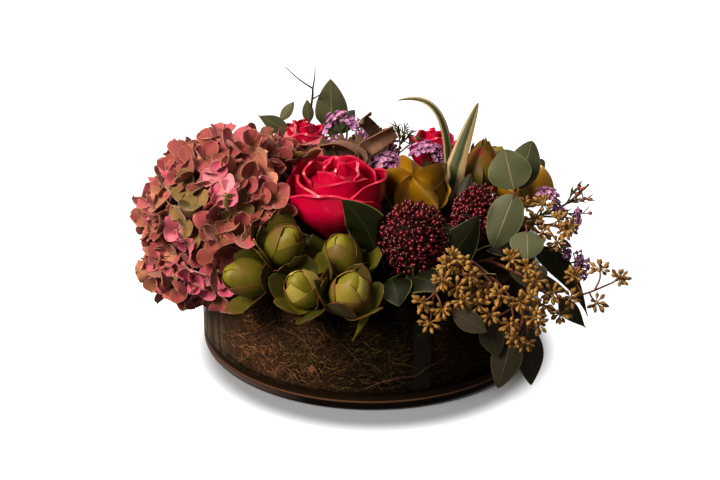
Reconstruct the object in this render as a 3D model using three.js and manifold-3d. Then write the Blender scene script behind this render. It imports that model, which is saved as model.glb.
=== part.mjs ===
// A floral table centrepiece: a low glass bowl lined with moss, a domed block of floral foam in it, and a
// hydrangea, waxed roses, leucadendrons, skimmia, seeded eucalyptus, statice and leaves standing in the foam.
// Millimetres. +Z is up, -Y is the front, and the origin is the middle of the bowl's foot.
import * as THREE from "three";
import { mergeVertices } from "three/addons/utils/BufferGeometryUtils.js";
import Module from "manifold-3d";

const wasm = await Module();
wasm.setup();

// Driving dimensions
const BOWL_RADIUS = 125;
const BOWL_HEIGHT = 75;
const GLASS_WALL = 3.5;
const GLASS_BASE = 8;
const BOWL_SEGMENTS = 40;
const MOSS_RADIUS = 115;
const MOSS_TOP = 68;
const MOSS_RELIEF = 3.5;
const FOAM_RADIUS = 96;
const FOAM_TOP = 92;
const STEM_FOCUS = new THREE.Vector3(0, 0, 34); // every stem in the foam points at this
const STEM_DEPTH = 20; // how far a stem runs into the foam
const SEAT_GAP = 0.35; // between pieces that touch
const PETAL_THICKNESS = 1.0;
const LEAF_THICKNESS = 0.9;
const STALK_WIDTH = 1.8;
const MERGE = 0.24; // facets smaller than this are merged

const GOLDEN_ANGLE = Math.PI * (3 - Math.sqrt(5));
const v = (x, y, z) => new THREE.Vector3(x, y, z);
const mix = (a, b, share) => a + (b - a) * share;
const degrees = THREE.MathUtils.degToRad;

// A fixed draw from 0 to 1 for an index and a salt.
function draw(index, salt) {
  const value = Math.sin(index * 12.9898 + salt * 78.233) * 43758.5453;
  return value - Math.floor(value);
}

// Solids

function solid(geometry, tolerance = 1e-4) {
  const bare = new THREE.BufferGeometry();
  bare.setAttribute("position", geometry.getAttribute("position"));
  if (geometry.index) bare.setIndex(geometry.index);
  const merged = mergeVertices(bare, tolerance);
  const triangles = [];
  const index = merged.index.array;
  for (let i = 0; i < index.length; i += 3) {
    const [a, b, c] = [index[i], index[i + 1], index[i + 2]];
    if (a !== b && b !== c && c !== a) triangles.push(a, b, c);
  }
  return new wasm.Manifold(
    new wasm.Mesh({
      numProp: 3,
      vertProperties: merged.attributes.position.array,
      triVerts: new Uint32Array(triangles),
    }),
  );
}

function body(points, triangles) {
  return solid(new THREE.BufferGeometry().setFromPoints(points).setIndex(triangles.flat()));
}

// A solid as a geometry, with its vertices moved out by a gap.
function geometryOf(shape, gap = 0) {
  const { numProp, vertProperties, triVerts } = shape.getMesh();
  const position = [];
  for (let i = 0; i < vertProperties.length; i += numProp)
    position.push(...vertProperties.subarray(i, i + 3));
  const geometry = new THREE.BufferGeometry();
  geometry.setAttribute("position", new THREE.Float32BufferAttribute(position, 3));
  geometry.setIndex(Array.from(triVerts));
  geometry.computeVertexNormals();
  const place = geometry.getAttribute("position");
  const normal = geometry.getAttribute("normal");
  for (let i = 0; i < place.count; i++) {
    const [x, y, z] = [place.getX(i), place.getY(i), place.getZ(i)];
    place.setXYZ(i, x + normal.getX(i) * gap, y + normal.getY(i) * gap, z + normal.getZ(i) * gap);
  }
  return geometry;
}

function biggest(shape) {
  return shape.decompose().reduce((best, one) => (one.volume() > best.volume() ? one : best));
}

// The biggest body of a union, with any sealed hollow filled and loose scraps dropped. Moving every vertex in
// a little parts corners that only touched.
function oneBody(shapes) {
  const joined = biggest(wasm.Manifold.union(shapes).simplify(MERGE));
  const merged = biggest(solid(geometryOf(joined), 2e-3).simplify(MERGE));
  return biggest(solid(geometryOf(merged, -0.01)));
}

function lathe(profile, segments) {
  const points = profile.map(([radius, height]) => new THREE.Vector2(radius, height));
  return solid(new THREE.LatheGeometry(points, segments).rotateX(Math.PI / 2));
}

// A rod through points, with a radius at each one.
function rod(points, radii, sides) {
  const rings = [];
  let normal = null;
  points.forEach((point, i) => {
    const before = points[Math.max(i - 1, 0)];
    const after = points[Math.min(i + 1, points.length - 1)];
    const ahead = after.clone().sub(before).normalize();
    if (!normal) normal = Math.abs(ahead.z) < 0.9 ? v(0, 0, 1) : v(1, 0, 0);
    normal = normal.clone().addScaledVector(ahead, -normal.dot(ahead)).normalize();
    const side = ahead.clone().cross(normal);
    for (let k = 0; k < sides; k++) {
      const turn = (2 * Math.PI * k) / sides;
      rings.push(
        point
          .clone()
          .addScaledVector(normal, Math.cos(turn) * radii[i])
          .addScaledVector(side, Math.sin(turn) * radii[i]),
      );
    }
  });
  const triangles = [];
  const last = (points.length - 1) * sides;
  for (let i = 0; i < points.length - 1; i++)
    for (let k = 0; k < sides; k++) {
      const [a, b] = [i * sides + k, i * sides + ((k + 1) % sides)];
      triangles.push([a, b, b + sides], [a, b + sides, a + sides]);
    }
  for (let k = 1; k < sides - 1; k++) triangles.push([0, k + 1, k], [last, last + k, last + k + 1]);
  return body(rings, triangles);
}

// A thin sheet from a grid of points on its middle surface. The last row may be one point, the tip.
function sheet(grid, thickness) {
  const rows = grid.length - 1;
  const columns = grid[0].length - 1;
  const at = (i, j) => grid[i][Math.min(j, grid[i].length - 1)];
  const normals = grid.map((row, i) =>
    row.map((_, j) => {
      const under = Math.min(i, rows - 1);
      const column = row.length === 1 ? columns / 2 : j;
      const low = Math.max(Math.floor(column - 0.5), 0);
      const high = Math.min(Math.ceil(column + 0.5), columns);
      const across = at(under, high).clone().sub(at(under, low));
      const along = at(Math.min(i + 1, rows), j).clone().sub(at(Math.max(i - 1, 0), j));
      return across.cross(along).normalize();
    }),
  );
  const points = [];
  const first = [];
  for (const side of [1, -1])
    grid.forEach((row, i) => {
      first.push(points.length);
      row.forEach((point, j) =>
        points.push(point.clone().addScaledVector(normals[i][j], (side * thickness) / 2)),
      );
    });
  const top = (i, j) => first[i] + Math.min(j, grid[i].length - 1);
  const under = (i, j) => first[i + rows + 1] + Math.min(j, grid[i].length - 1);
  const triangles = [];
  for (let i = 0; i < rows; i++) {
    const pointed = grid[i + 1].length === 1;
    for (let j = 0; j < columns; j++) {
      triangles.push([top(i, j), top(i, j + 1), top(i + 1, j + 1)]);
      triangles.push([under(i, j), under(i + 1, j + 1), under(i, j + 1)]);
      if (pointed) continue;
      triangles.push([top(i, j), top(i + 1, j + 1), top(i + 1, j)]);
      triangles.push([under(i, j), under(i + 1, j), under(i + 1, j + 1)]);
    }
    triangles.push([top(i, 0), top(i + 1, 0), under(i, 0)]);
    triangles.push([top(i + 1, 0), under(i + 1, 0), under(i, 0)]);
    triangles.push([top(i, columns), under(i, columns), top(i + 1, columns)]);
    triangles.push([top(i + 1, columns), under(i, columns), under(i + 1, columns)]);
  }
  for (let j = 0; j < columns; j++) {
    triangles.push([top(0, j), under(0, j), top(0, j + 1)]);
    triangles.push([top(0, j + 1), under(0, j), under(0, j + 1)]);
    if (grid[rows].length === 1) continue;
    triangles.push([top(rows, j), top(rows, j + 1), under(rows, j)]);
    triangles.push([top(rows, j + 1), under(rows, j + 1), under(rows, j)]);
  }
  return body(points, triangles);
}

// Where row i of a blade lies along it. The rows close up towards the tip, so that the tip is round.
const rowShare = (i, rows) => Math.sin((Math.PI / 2) * (i / rows));

// The point at a share of the steps along a path: 1.5 is half way from the second point to the third.
function along(path, steps) {
  const i = Math.min(Math.floor(steps), path.length - 2);
  return path[i].clone().lerp(path[i + 1], steps - i);
}

// The way a frame stands: its z axis along an axis, turned about it by a spin.
function frameAt(base, axis, spin = 0) {
  const up = axis.clone().normalize();
  const turn = new THREE.Quaternion().setFromUnitVectors(v(0, 0, 1), up);
  turn.multiply(new THREE.Quaternion().setFromAxisAngle(v(0, 0, 1), spin));
  return new THREE.Matrix4().compose(base, turn, v(1, 1, 1));
}

// The bowl, the moss and the foam

// Height of the foam's domed top at a distance from the middle.
function foamSurface(radius) {
  const shoulder = Math.min(radius / FOAM_RADIUS, 1);
  return mix(MOSS_TOP + 4, FOAM_TOP, Math.sqrt(1 - shoulder ** 2.6));
}

function makeBowl() {
  const inside = BOWL_RADIUS - GLASS_WALL;
  return lathe(
    [
      [0, 0],
      [BOWL_RADIUS - 7, 0],
      [BOWL_RADIUS - 1.6, 2.4],
      [BOWL_RADIUS, 7.5],
      [BOWL_RADIUS, BOWL_HEIGHT],
      [inside, BOWL_HEIGHT],
      [inside, GLASS_BASE + 3],
      [inside - 3, GLASS_BASE],
      [0, GLASS_BASE],
    ],
    BOWL_SEGMENTS,
  );
}

function makeMoss() {
  const steps = 32;
  const floor = GLASS_BASE + SEAT_GAP;
  const inner = FOAM_RADIUS + SEAT_GAP + 0.4;
  const outline = [
    [1, 0],
    [1, 0.5],
    [0.92, 1],
    [0, 1],
    [0, 0],
  ];
  const points = [];
  for (let i = 0; i < steps; i++)
    outline.forEach(([out, up], j) => {
      const outer = out > 0.5;
      const bump = outer ? (draw(i, j) - 0.6) * MOSS_RELIEF * (j === 0 ? 1 : 2) : 0;
      const lift = outer && up === 1 ? draw(i, 9) * -3 : 0;
      const radius = mix(inner, MOSS_RADIUS, out) + bump;
      const turn = (2 * Math.PI * i) / steps;
      points.push(v(Math.cos(turn) * radius, Math.sin(turn) * radius, mix(floor, MOSS_TOP, up) + lift));
    });
  const triangles = [];
  const n = outline.length;
  for (let i = 0; i < steps; i++)
    for (let j = 0; j < n; j++) {
      const [a, b] = [i * n + j, i * n + ((j + 1) % n)];
      const [c, d] = [((i + 1) % steps) * n + j, ((i + 1) % steps) * n + ((j + 1) % n)];
      triangles.push([a, c, d], [a, d, b]);
    }
  return body(points, triangles);
}

// The foam's domed top as a profile, from its shoulder to its middle.
function domeProfile(rise) {
  const rings = 3;
  return Array.from({ length: rings + 1 }, (_, i) => {
    const radius = i === rings ? 0 : FOAM_RADIUS * Math.cos((Math.PI / 2) * (i / rings));
    return [radius, foamSurface(radius) + rise];
  });
}

function makeFoam(holes) {
  const floor = GLASS_BASE + SEAT_GAP;
  const block = lathe([[0, floor], [FOAM_RADIUS, floor], ...domeProfile(0)], 20);
  return holes.reduce((rest, hole) => rest.subtract(hole), block);
}

// The room that the bowl, the moss and the foam take up, with some to spare.
function roomOfTheBowl() {
  const rim = BOWL_HEIGHT + 1.5;
  const wall = BOWL_RADIUS + 2;
  return lathe([[0, -5], [wall, -5], [wall, rim], [FOAM_RADIUS + 4, rim], ...domeProfile(4)], 32);
}

// A stem through points, from the foam up. Below the first point it runs down into the foam, towards the
// focus, and the hole that it needs there is kept for the foam.
const stemHoles = [];
function stemThrough(path, low, high, sides = low > 2 ? 4 : 3) {
  const inward = STEM_FOCUS.clone().sub(path[0]).normalize();
  const entry = path[0].clone();
  const outside = () => {
    const radius = Math.hypot(entry.x, entry.y);
    return radius > FOAM_RADIUS || entry.z > foamSurface(radius);
  };
  while (outside()) entry.addScaledVector(inward, 0.5);
  const end = entry.clone().addScaledVector(inward, STEM_DEPTH);
  const mouth = entry.clone().addScaledVector(inward, -6);
  const bottom = end.clone().addScaledVector(inward, SEAT_GAP);
  const wide = low + SEAT_GAP / Math.cos(Math.PI / sides);
  stemHoles.push(rod([bottom, mouth], [wide, wide], sides));
  if (path.length === 1) return rod([end, path[0]], [low, low], sides);
  const knee = path[0].clone().addScaledVector(inward, 2);
  const points = [end, knee, ...path.slice(1)];
  const last = points.length - 2;
  const radii = points.map((_, i) => (i < 2 ? low : mix(low, high, (i - 1) / last)));
  return rod(points, radii, sides);
}

// What the pieces keep clear of: rounded spaces, each held by the bloom that it is named for
const SPACES = {
  hydrangea: { centre: v(-96, -23, 101), radii: v(68, 69, 60) },
  rose_red_1: { centre: v(-25, -42, 126), radii: v(42, 40, 34) },
  rose_red_2: { centre: v(-46, 54, 127), radii: v(24, 24, 22) },
  rose_red_3: { centre: v(50, 62, 119), radii: v(24, 24, 22) },
  rose_olive_1: { centre: v(35, -13, 124), radii: v(26, 26, 23) },
  rose_olive_2: { centre: v(108, 22, 104), radii: v(24, 24, 22) },
  leucadendron_1: { centre: v(-90, -101, 94), radii: v(22, 22, 21) },
  leucadendron_2: { centre: v(-58, -92, 114), radii: v(20, 19.5, 19) },
  leucadendron_3: { centre: v(-20, -95, 106), radii: v(18.5, 18, 18.5) },
  leucadendron_4: { centre: v(-50, -121, 94), radii: v(17.5, 17, 16.5) },
  leucadendron_5: { centre: v(-14, -131, 95), radii: v(17.5, 17, 16.5) },
  leucadendron_6: { centre: v(82, 20, 128), radii: v(15, 15, 22) },
  leucadendron_7: { centre: v(-84, 84, 104), radii: v(17, 17, 18) },
  leucadendron_8: { centre: v(96, 76, 104), radii: v(17, 17, 18) },
  skimmia_1: { centre: v(29, -84, 113), radii: v(24.5, 24, 30) },
  skimmia_2: { centre: v(74, -45, 113), radii: v(18.5, 18.5, 25.5) },
  skimmia_3: { centre: v(2, 90, 108), radii: v(22.5, 22.5, 21.5) },
};
const RIM_CLEARANCE = 2;

function oval(centre, radii) {
  return solid(new THREE.IcosahedronGeometry(1, 1).scale(...radii).translate(...centre));
}

// A point pushed out of every space but the named ones, out of the bowl's wall and off the foam.
function clearOf(point, own, gap = 1.2) {
  const moved = point.clone();
  for (const [name, { centre, radii }] of Object.entries(SPACES)) {
    if (own.includes(name)) continue;
    const reach = moved.clone().sub(centre).divide(radii.clone().addScalar(gap));
    if (reach.length() < 1)
      moved.copy(reach.normalize().multiply(radii.clone().addScalar(gap)).add(centre));
  }
  const radius = Math.hypot(moved.x, moved.y);
  const wall = BOWL_RADIUS + RIM_CLEARANCE;
  const rim = BOWL_HEIGHT + RIM_CLEARANCE;
  if (radius < wall && radius > wall - 12 && moved.z < rim && moved.z < rim - (wall - radius)) {
    moved.x *= wall / radius;
    moved.y *= wall / radius;
  } else if (radius < wall) {
    const floor = radius < FOAM_RADIUS ? Math.max(foamSurface(radius) + 1.5, rim) : rim;
    moved.z = Math.max(moved.z, floor);
  }
  return moved;
}

// Whether a space other than the named ones, the bowl or the foam holds a point.
function taken(point, own, gap = 1) {
  return clearOf(point, own, gap).distanceTo(point) > 1e-6;
}

// Leaves

const LEAF_SHAPES = {
  round: (s) => Math.sin(Math.PI * s ** 0.78) ** 0.62,
  oval: (s) => Math.sin(Math.PI * s ** 0.85) ** 0.8,
  lance: (s) => Math.sin(Math.PI * s ** 0.7) ** 1.15,
  strap: (s) => Math.min(1, 0.55 + 2 * s) * (1 - s) ** 0.55,
};

// A leaf from its root to its tip by way of a bend, on a flat stalk. Its upper face looks along facing, and
// fold drops its edges.
function leaf(given) {
  const plain = { fold: 0.12, shape: "oval", rows: 3, columns: 2, own: [] };
  const { stalk, root, tip, bend, width, facing, fold, shape, rows, columns, own } = { ...plain, ...given };
  const middle = bend ?? root.clone().lerp(tip, 0.5).addScaledVector(facing, 0.08 * root.distanceTo(tip));
  const line = new THREE.QuadraticBezierCurve3(root, middle, tip);
  const grid = [];
  const addRow = (point, tangent, half, drop, clear) => {
    const across = tangent.clone().cross(facing).normalize();
    const up = across.clone().cross(tangent).normalize();
    const row = [];
    for (let j = 0; j <= (half > 0 ? columns : 0); j++) {
      const t = half > 0 ? (2 * j) / columns - 1 : 0;
      const place = point.clone().addScaledVector(across, t * half);
      place.addScaledVector(up, -drop * Math.abs(t) * half);
      row.push(clear ? clearOf(place, own) : place);
    }
    grid.push(row);
  };
  if (stalk) addRow(stalk, root.clone().sub(stalk).normalize(), STALK_WIDTH / 2, 0, false);
  for (let i = 0; i <= rows; i++) {
    const s = rowShare(i, rows);
    const half = i === rows ? 0 : Math.max((width / 2) * LEAF_SHAPES[shape](s), STALK_WIDTH * 0.6);
    addRow(line.getPoint(s), line.getTangent(s), half, fold, true);
  }
  return sheet(grid, LEAF_THICKNESS);
}

// A petal or bract round an axis: how far out and how high it is at each share of its length and width.
function petal({ frame, azimuth, halfWidth, out, high, rows, columns }) {
  const grid = [];
  for (let i = 0; i <= rows; i++) {
    const s = rowShare(i, rows);
    const row = [];
    for (let j = 0; j <= (i === rows ? 0 : columns); j++) {
      const t = i === rows ? 0 : (2 * j) / columns - 1;
      const radius = out(s, t);
      const angle = azimuth + t * halfWidth(s, radius);
      row.push(v(Math.cos(angle) * radius, Math.sin(angle) * radius, high(s, t)).applyMatrix4(frame));
    }
    grid.push(row);
  }
  return sheet(grid, PETAL_THICKNESS);
}

// The hydrangea head: four-sepalled florets all over an oval, on a smaller core

const HYDRANGEA_FLORETS = 56;
const SEPAL_LENGTH = 17.5;
const HYDRANGEA_CORE_DEPTH = 9;

const FLORET_DEPTH = 2; // how far under its middle the waist of a flat floret is

// One floret as a funnel: a rim of four sepals round a middle, and under it a waist and an apex in the core.
// The more its sepals droop, the lower is its waist.
function floret(index, base, axis) {
  const frame = frameAt(base, axis, draw(index, 1) * Math.PI);
  const place = (x, y, z) => clearOf(v(x, y, z).applyMatrix4(frame), ["hydrangea"], 0.8);
  const middle = place(0, 0, -0.4);
  const rim = [];
  for (let q = 0; q < 4; q++) {
    const length = SEPAL_LENGTH * mix(0.88, 1.1, draw(index * 4 + q, 2));
    const lift = mix(-8, 0.5, draw(index * 4 + q, 3));
    for (const [turn, reach, rise] of [
      [-20, 0.93, 1],
      [20, 0.93, 1],
      [45, 0.42, 0],
    ]) {
      const angle = (q * Math.PI) / 2 + degrees(turn);
      rim.push(place(Math.cos(angle) * reach * length, Math.sin(angle) * reach * length, lift * rise));
    }
  }
  const droop = Math.max(0, ...rim.map((point) => middle.clone().sub(point).dot(axis)));
  const depth = FLORET_DEPTH + 0.35 * droop;
  const waist = [2, 5, 8, 11].map((notch) =>
    middle.clone().lerp(rim[notch], 0.8).addScaledVector(axis, -depth),
  );
  const low = v(0, 0, -HYDRANGEA_CORE_DEPTH - 8).applyMatrix4(frame);
  const points = [...rim, ...waist, middle, low];
  const [centre, apex] = [16, 17];
  const triangles = [];
  for (let i = 0; i < 12; i++) triangles.push([centre, i, (i + 1) % 12]);
  for (let q = 0; q < 4; q++) {
    const [left, right, notch] = [q * 3, q * 3 + 1, q * 3 + 2];
    const before = (q * 3 + 11) % 12;
    const [m, n] = [12 + ((q + 3) % 4), 12 + q];
    triangles.push([before, m, left], [left, m, n], [left, n, right], [right, n, notch], [m, apex, n]);
  }
  return body(points, triangles);
}

function makeHydrangea() {
  const { centre, radii } = SPACES.hydrangea;
  const own = ["hydrangea"];
  const florets = [];
  for (let i = 0; i < HYDRANGEA_FLORETS; i++) {
    const up = 1 - (2 * (i + 0.5)) / HYDRANGEA_FLORETS;
    const round = Math.sqrt(1 - up * up);
    const way = v(Math.cos(i * GOLDEN_ANGLE) * round, Math.sin(i * GOLDEN_ANGLE) * round, up);
    const base = way.clone().multiply(radii).multiplyScalar(mix(0.95, 1.04, draw(i, 5))).add(centre);
    const axis = way.clone().divide(radii).normalize();
    if (taken(base, own, -1)) continue;
    florets.push(floret(i, base, axis));
  }
  const core = ["rose_red_1", "leucadendron_1", "leucadendron_2"].reduce(
    (rest, name) => rest.subtract(oval(SPACES[name].centre, SPACES[name].radii.clone().addScalar(1.5))),
    oval(centre, radii.clone().subScalar(HYDRANGEA_CORE_DEPTH)),
  );
  return oneBody([oneBody([core, ...florets]).subtract(roomOfTheBowl())]);
}

// Roses: petals in a spiral, each turn further out, on a green calyx and stem

const ROSES = {
  rose_red_1: {
    base: v(-19, -31, 102), axis: v(-0.2, -0.36, 0.91), radius: 39.5, height: 47, petals: 10,
    columns: 4,
  },
  rose_red_2: {
    base: v(-44, 47, 110), axis: v(-0.1, 0.2, 0.97), radius: 23, height: 34, petals: 5, columns: 2,
  },
  rose_red_3: {
    base: v(46, 51, 103), axis: v(0.1, 0.3, 0.95), radius: 23, height: 32, petals: 5, columns: 2,
  },
  rose_olive_1: {
    base: v(33, -8, 105.5), axis: v(0.06, -0.22, 0.97), radius: 26.5, height: 38, petals: 7,
    columns: 2,
  },
  rose_olive_2: {
    base: v(97, 19, 90), axis: v(0.55, 0.12, 0.83), radius: 24, height: 32, petals: 5, columns: 2,
  },
};
const ROSE_HEART = 0.22; // the closed heart's radius, as a share of the bloom's
const ROSE_FOOT = 0.36; // how wide the petals stand at their foot

function roseBloom({ base, axis, radius, height, petals, columns }) {
  const frame = frameAt(base, axis, 0.6);
  const shapes = [];
  const lastTurn = (petals - 1) * 2.4 + 1.1;
  for (let k = 0; k < petals; k++) {
    const layer = k / (petals - 1);
    const turn = k * 2.4;
    const widest = degrees(mix(66, 52, layer));
    const belly = (t) => radius * mix(ROSE_HEART + 0.1, 0.93, (Math.max(turn + t, 0) / lastTurn) ** 0.95);
    shapes.push(
      petal({
        frame,
        azimuth: turn,
        rows: 3,
        columns,
        halfWidth: (s) => widest * mix(0.7, 1, Math.min(s / 0.5, 1)) * (s > 0.7 ? 0.86 : 1),
        out: (s, t) =>
          belly(t) * mix(ROSE_FOOT, 1, Math.sin((Math.min(s / 0.62, 1) * Math.PI) / 2)) +
          radius * mix(-0.05, 0.14, layer) * s ** 4,
        high: (s, t) =>
          height * (mix(1, 0.86, layer) * s ** 0.9 - mix(0, 0.14, layer) * (s ** 6 + 0.3 * s * t * t)) + 1.5,
      }),
    );
  }
  const heart = lathe(
    [
      [0, -1],
      [radius * 0.35, height * 0.05],
      [radius * 0.3, height * 0.2],
      [radius * ROSE_HEART, height * 0.66],
      [0, height * 0.92],
    ],
    6,
  ).transform(frame.elements);
  return oneBody([heart, ...shapes]);
}

function roseStem({ base, axis, radius }) {
  const up = axis.clone().normalize();
  const top = base.clone().addScaledVector(up, -1 - SEAT_GAP);
  const low = base.clone().addScaledVector(up, -5);
  const cup = rod([low, top], [2.6, radius * 0.22], 5);
  return oneBody([cup, stemThrough([low.clone().addScaledVector(up, 1)], 2.8, 2.8, 5)]);
}

// Leucadendron heads: overlapping closed bracts like an egg, in a cup of open round leaves

const LEUCADENDRONS = {
  leucadendron_1: {
    base: v(-81, -92, 87), axis: v(-0.6, -0.66, 0.4), egg: 14.5, height: 32, spread: 5, spin: 0.4,
  },
  leucadendron_2: {
    base: v(-61, -84, 102), axis: v(0.25, -0.5, 0.83), egg: 14, height: 32, spread: 5, spin: 1.9,
  },
  leucadendron_3: {
    base: v(-20, -91, 93), axis: v(0, -0.3, 0.95), egg: 14, height: 32, spread: 4.5, spin: 3.3,
  },
  leucadendron_4: {
    base: v(-46, -114, 83), axis: v(-0.3, -0.5, 0.8), egg: 13.5, height: 29, spread: 5, spin: 4.4,
  },
  leucadendron_5: {
    base: v(-14, -125, 83),
    axis: v(0.05, -0.4, 0.9),
    egg: 14,
    height: 30,
    spread: 5,
    spin: 5.5,
    hanging: {
      root: v(-9, -120, 84), bend: v(2, -138, 88), tip: v(-13, -137, 61), width: 9,
      facing: v(0.3, -0.9, 0.2),
    },
  },
  leucadendron_6: {
    base: v(79, 18, 106), axis: v(0.12, 0.05, 0.99), egg: 11.5, height: 42, spread: 2, spin: 0.9,
  },
  leucadendron_7: {
    base: v(-78, 76, 91), axis: v(-0.4, 0.5, 0.75), egg: 14, height: 31, spread: 5, spin: 2.2,
  },
  leucadendron_8: {
    base: v(87, 69, 91), axis: v(0.5, 0.4, 0.75), egg: 14, height: 31, spread: 5, spin: 3.8,
  },
};

const EGG_PROFILE = [
  [0.8, 0.16],
  [0.98, 0.45],
  [0.64, 0.82],
];
const EGG_SIDES = 8;
const BRACT_STEP = 0.16; // how much further out a bract's free edge stands than the edge tucked under it
const OPEN_BRACTS = 5;
const COLLAR_DEPTH = 1.6; // the collar that the open bracts grow from, between the egg and the stem
const BRACT_SHARES = [0, 0.3, 0.72, 1]; // where an open bract's rows lie along it

// One open bract from inside the collar: it rounds out past the egg and spreads, with one edge further out.
function openBract(name, b) {
  const { base, axis, egg, height, spread, spin } = LEUCADENDRONS[name];
  const frame = frameAt(base, axis, spin);
  const middle = (2 * Math.PI * (b + 0.5)) / OPEN_BRACTS;
  const long = Math.min(height, 27) * mix(0.8, 1, draw(b, spin * 10));
  const grid = BRACT_SHARES.map((s) => {
    const opened = Math.sin((Math.min(2.2 * s, 1) * Math.PI) / 2);
    const out = mix(egg * 0.42, egg * 0.78 + 2.8, opened) + spread * s * s;
    const half = 10.5 * mix(0.75, 1, Math.sin(Math.PI * Math.min(s, 0.92)));
    const high = long * (s - 0.1 * Math.sin(Math.PI * s)) - (s > 0 ? 0 : 1);
    return (s < 1 ? [-1, 0, 1] : [0]).map((t) => {
      const reach = out + (s > 0 ? t : 0);
      const at = middle + (t * half) / Math.max(reach, 9);
      const place = v(Math.cos(at) * reach, Math.sin(at) * reach, high).applyMatrix4(frame);
      return s > 0 ? clearOf(place, [name], 1.6) : place;
    });
  });
  return sheet(grid, PETAL_THICKNESS);
}

// A head: an egg of closed bracts with a step along each free edge, on a collar, with open bracts round it.
function makeLeucadendron(name) {
  const { base, axis, egg, height, spin, hanging } = LEUCADENDRONS[name];
  const frame = frameAt(base, axis, spin);
  const points = [];
  const triangles = [];
  const ring = (make) => {
    const first = points.length;
    for (let k = 0; k < EGG_SIDES; k++)
      points.push(make(k, (2 * Math.PI * k) / EGG_SIDES).applyMatrix4(frame));
    return first;
  };
  const band = (low, high) => {
    for (let k = 0; k < EGG_SIDES; k++) {
      const next = (k + 1) % EGG_SIDES;
      triangles.push([low + k, low + next, high + next], [low + k, high + next, high + k]);
    }
  };
  const collar = egg * 0.5;
  const under = ring((k, turn) => v(Math.cos(turn) * collar, Math.sin(turn) * collar, -COLLAR_DEPTH));
  let low = ring((k, turn) => v(Math.cos(turn) * collar, Math.sin(turn) * collar, 0));
  band(under, low);
  EGG_PROFILE.forEach(([out, up], i) => {
    const high = ring((k, turn) => {
      const step = ((k % 4) / 3 - 0.5) * BRACT_STEP;
      const reach = egg * out * (1 + step);
      const at = turn + 0.2 * i;
      return v(Math.cos(at) * reach, Math.sin(at) * reach, height * up);
    });
    band(low, high);
    low = high;
  });
  const [foot, tip] = [points.length, points.length + 1];
  points.push(v(0, 0, -COLLAR_DEPTH).applyMatrix4(frame), v(0, 0, height).applyMatrix4(frame));
  for (let k = 0; k < EGG_SIDES; k++) {
    const next = (k + 1) % EGG_SIDES;
    triangles.push([foot, under + next, under + k], [tip, low + k, low + next]);
  }
  const shapes = [body(points, triangles), stemThrough([base.clone().addScaledVector(axis, 2)], 2.4, 2.4)];
  for (let b = 0; b < OPEN_BRACTS; b++) shapes.push(openBract(name, b));
  if (hanging) shapes.push(leaf({ ...hanging, shape: "lance", own: [name] }));
  return oneBody(shapes);
}

// Skimmia: a dome of small round buds over its own broad leaves

const SKIMMIAS = {
  skimmia_1: {
    centre: v(29, -84, 113),
    axis: v(0.05, -0.3, 0.95),
    spread: v(23, 22, 28),
    head: new THREE.IcosahedronGeometry(1, 2),
    leaves: [
      {
        root: v(8, -80, 86), tip: v(-19, -84, 139), bend: v(2, -88, 118), width: 40,
        facing: v(-0.3, -0.93, 0.2),
      },
      {
        root: v(44, -78, 88), tip: v(71, -82, 128), bend: v(66, -86, 104), width: 28,
        facing: v(0.2, -0.9, 0.35),
      },
      {
        root: v(18, -98, 86), tip: v(17, -124, 82), bend: v(17, -112, 96), width: 20,
        facing: v(0, -0.5, 0.85),
      },
      {
        root: v(34, -98, 87), tip: v(44, -122, 92), bend: v(38, -112, 96), width: 20,
        facing: v(0.1, -0.6, 0.8),
      },
    ],
  },
  skimmia_2: {
    centre: v(74, -45, 113),
    axis: v(0.2, -0.2, 0.95),
    spread: v(17.5, 17.5, 24),
    head: new THREE.OctahedronGeometry(1, 3),
    leaves: [
      {
        root: v(73, -41, 94), tip: v(112, -62, 84), bend: v(92, -52, 98), width: 18,
        facing: v(0.2, -0.6, 0.8),
      },
      {
        root: v(66, -34, 97), tip: v(72, -14, 132), bend: v(62, -18, 116), width: 16,
        facing: v(-0.3, -0.8, 0.4),
      },
    ],
  },
  skimmia_3: {
    centre: v(2, 90, 108),
    axis: v(0, 0.4, 0.9),
    spread: v(21, 21, 20),
    head: new THREE.OctahedronGeometry(1, 2),
    leaves: [
      {
        root: v(-6, 84, 90), tip: v(-40, 122, 84), bend: v(-30, 100, 104), width: 34,
        facing: v(-0.2, 0.5, 0.85),
      },
      { root: v(3, 88, 90), tip: v(4, 136, 78), bend: v(4, 116, 98), width: 32, facing: v(0, 0.5, 0.85) },
      {
        root: v(8, 84, 90), tip: v(50, 116, 84), bend: v(36, 96, 104), width: 34,
        facing: v(0.2, 0.5, 0.85),
      },
    ],
  },
};
const BUD_DEPTH = 6; // how far the dips between buds lie below the buds' tips

// A head with a pointed bud on every face of a ball.
function skimmiaBuds(name) {
  const { centre, axis, spread, head } = SKIMMIAS[name];
  const frame = frameAt(centre, axis);
  const ball = mergeVertices(head.deleteAttribute("normal").deleteAttribute("uv"), 1e-4);
  const place = ball.getAttribute("position");
  const points = [];
  const dips = spread.clone().subScalar(BUD_DEPTH);
  for (let i = 0; i < place.count; i++) points.push(v(0, 0, 0).fromBufferAttribute(place, i).multiply(dips));
  const triangles = [];
  for (let i = 0; i < ball.index.count; i += 3) {
    const corners = [0, 1, 2].map((k) => ball.index.getX(i + k));
    const way = v(0, 0, 0);
    for (const corner of corners) way.add(v(0, 0, 0).fromBufferAttribute(place, corner));
    if (way.normalize().z < -0.6) {
      triangles.push(corners);
      continue;
    }
    const bud = points.length;
    points.push(way.multiply(spread).multiplyScalar(mix(0.94, 1.06, draw(i, 21))));
    corners.forEach((corner, k) => triangles.push([corner, corners[(k + 1) % 3], bud]));
  }
  return body(points, triangles).transform(frame.elements);
}

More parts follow.
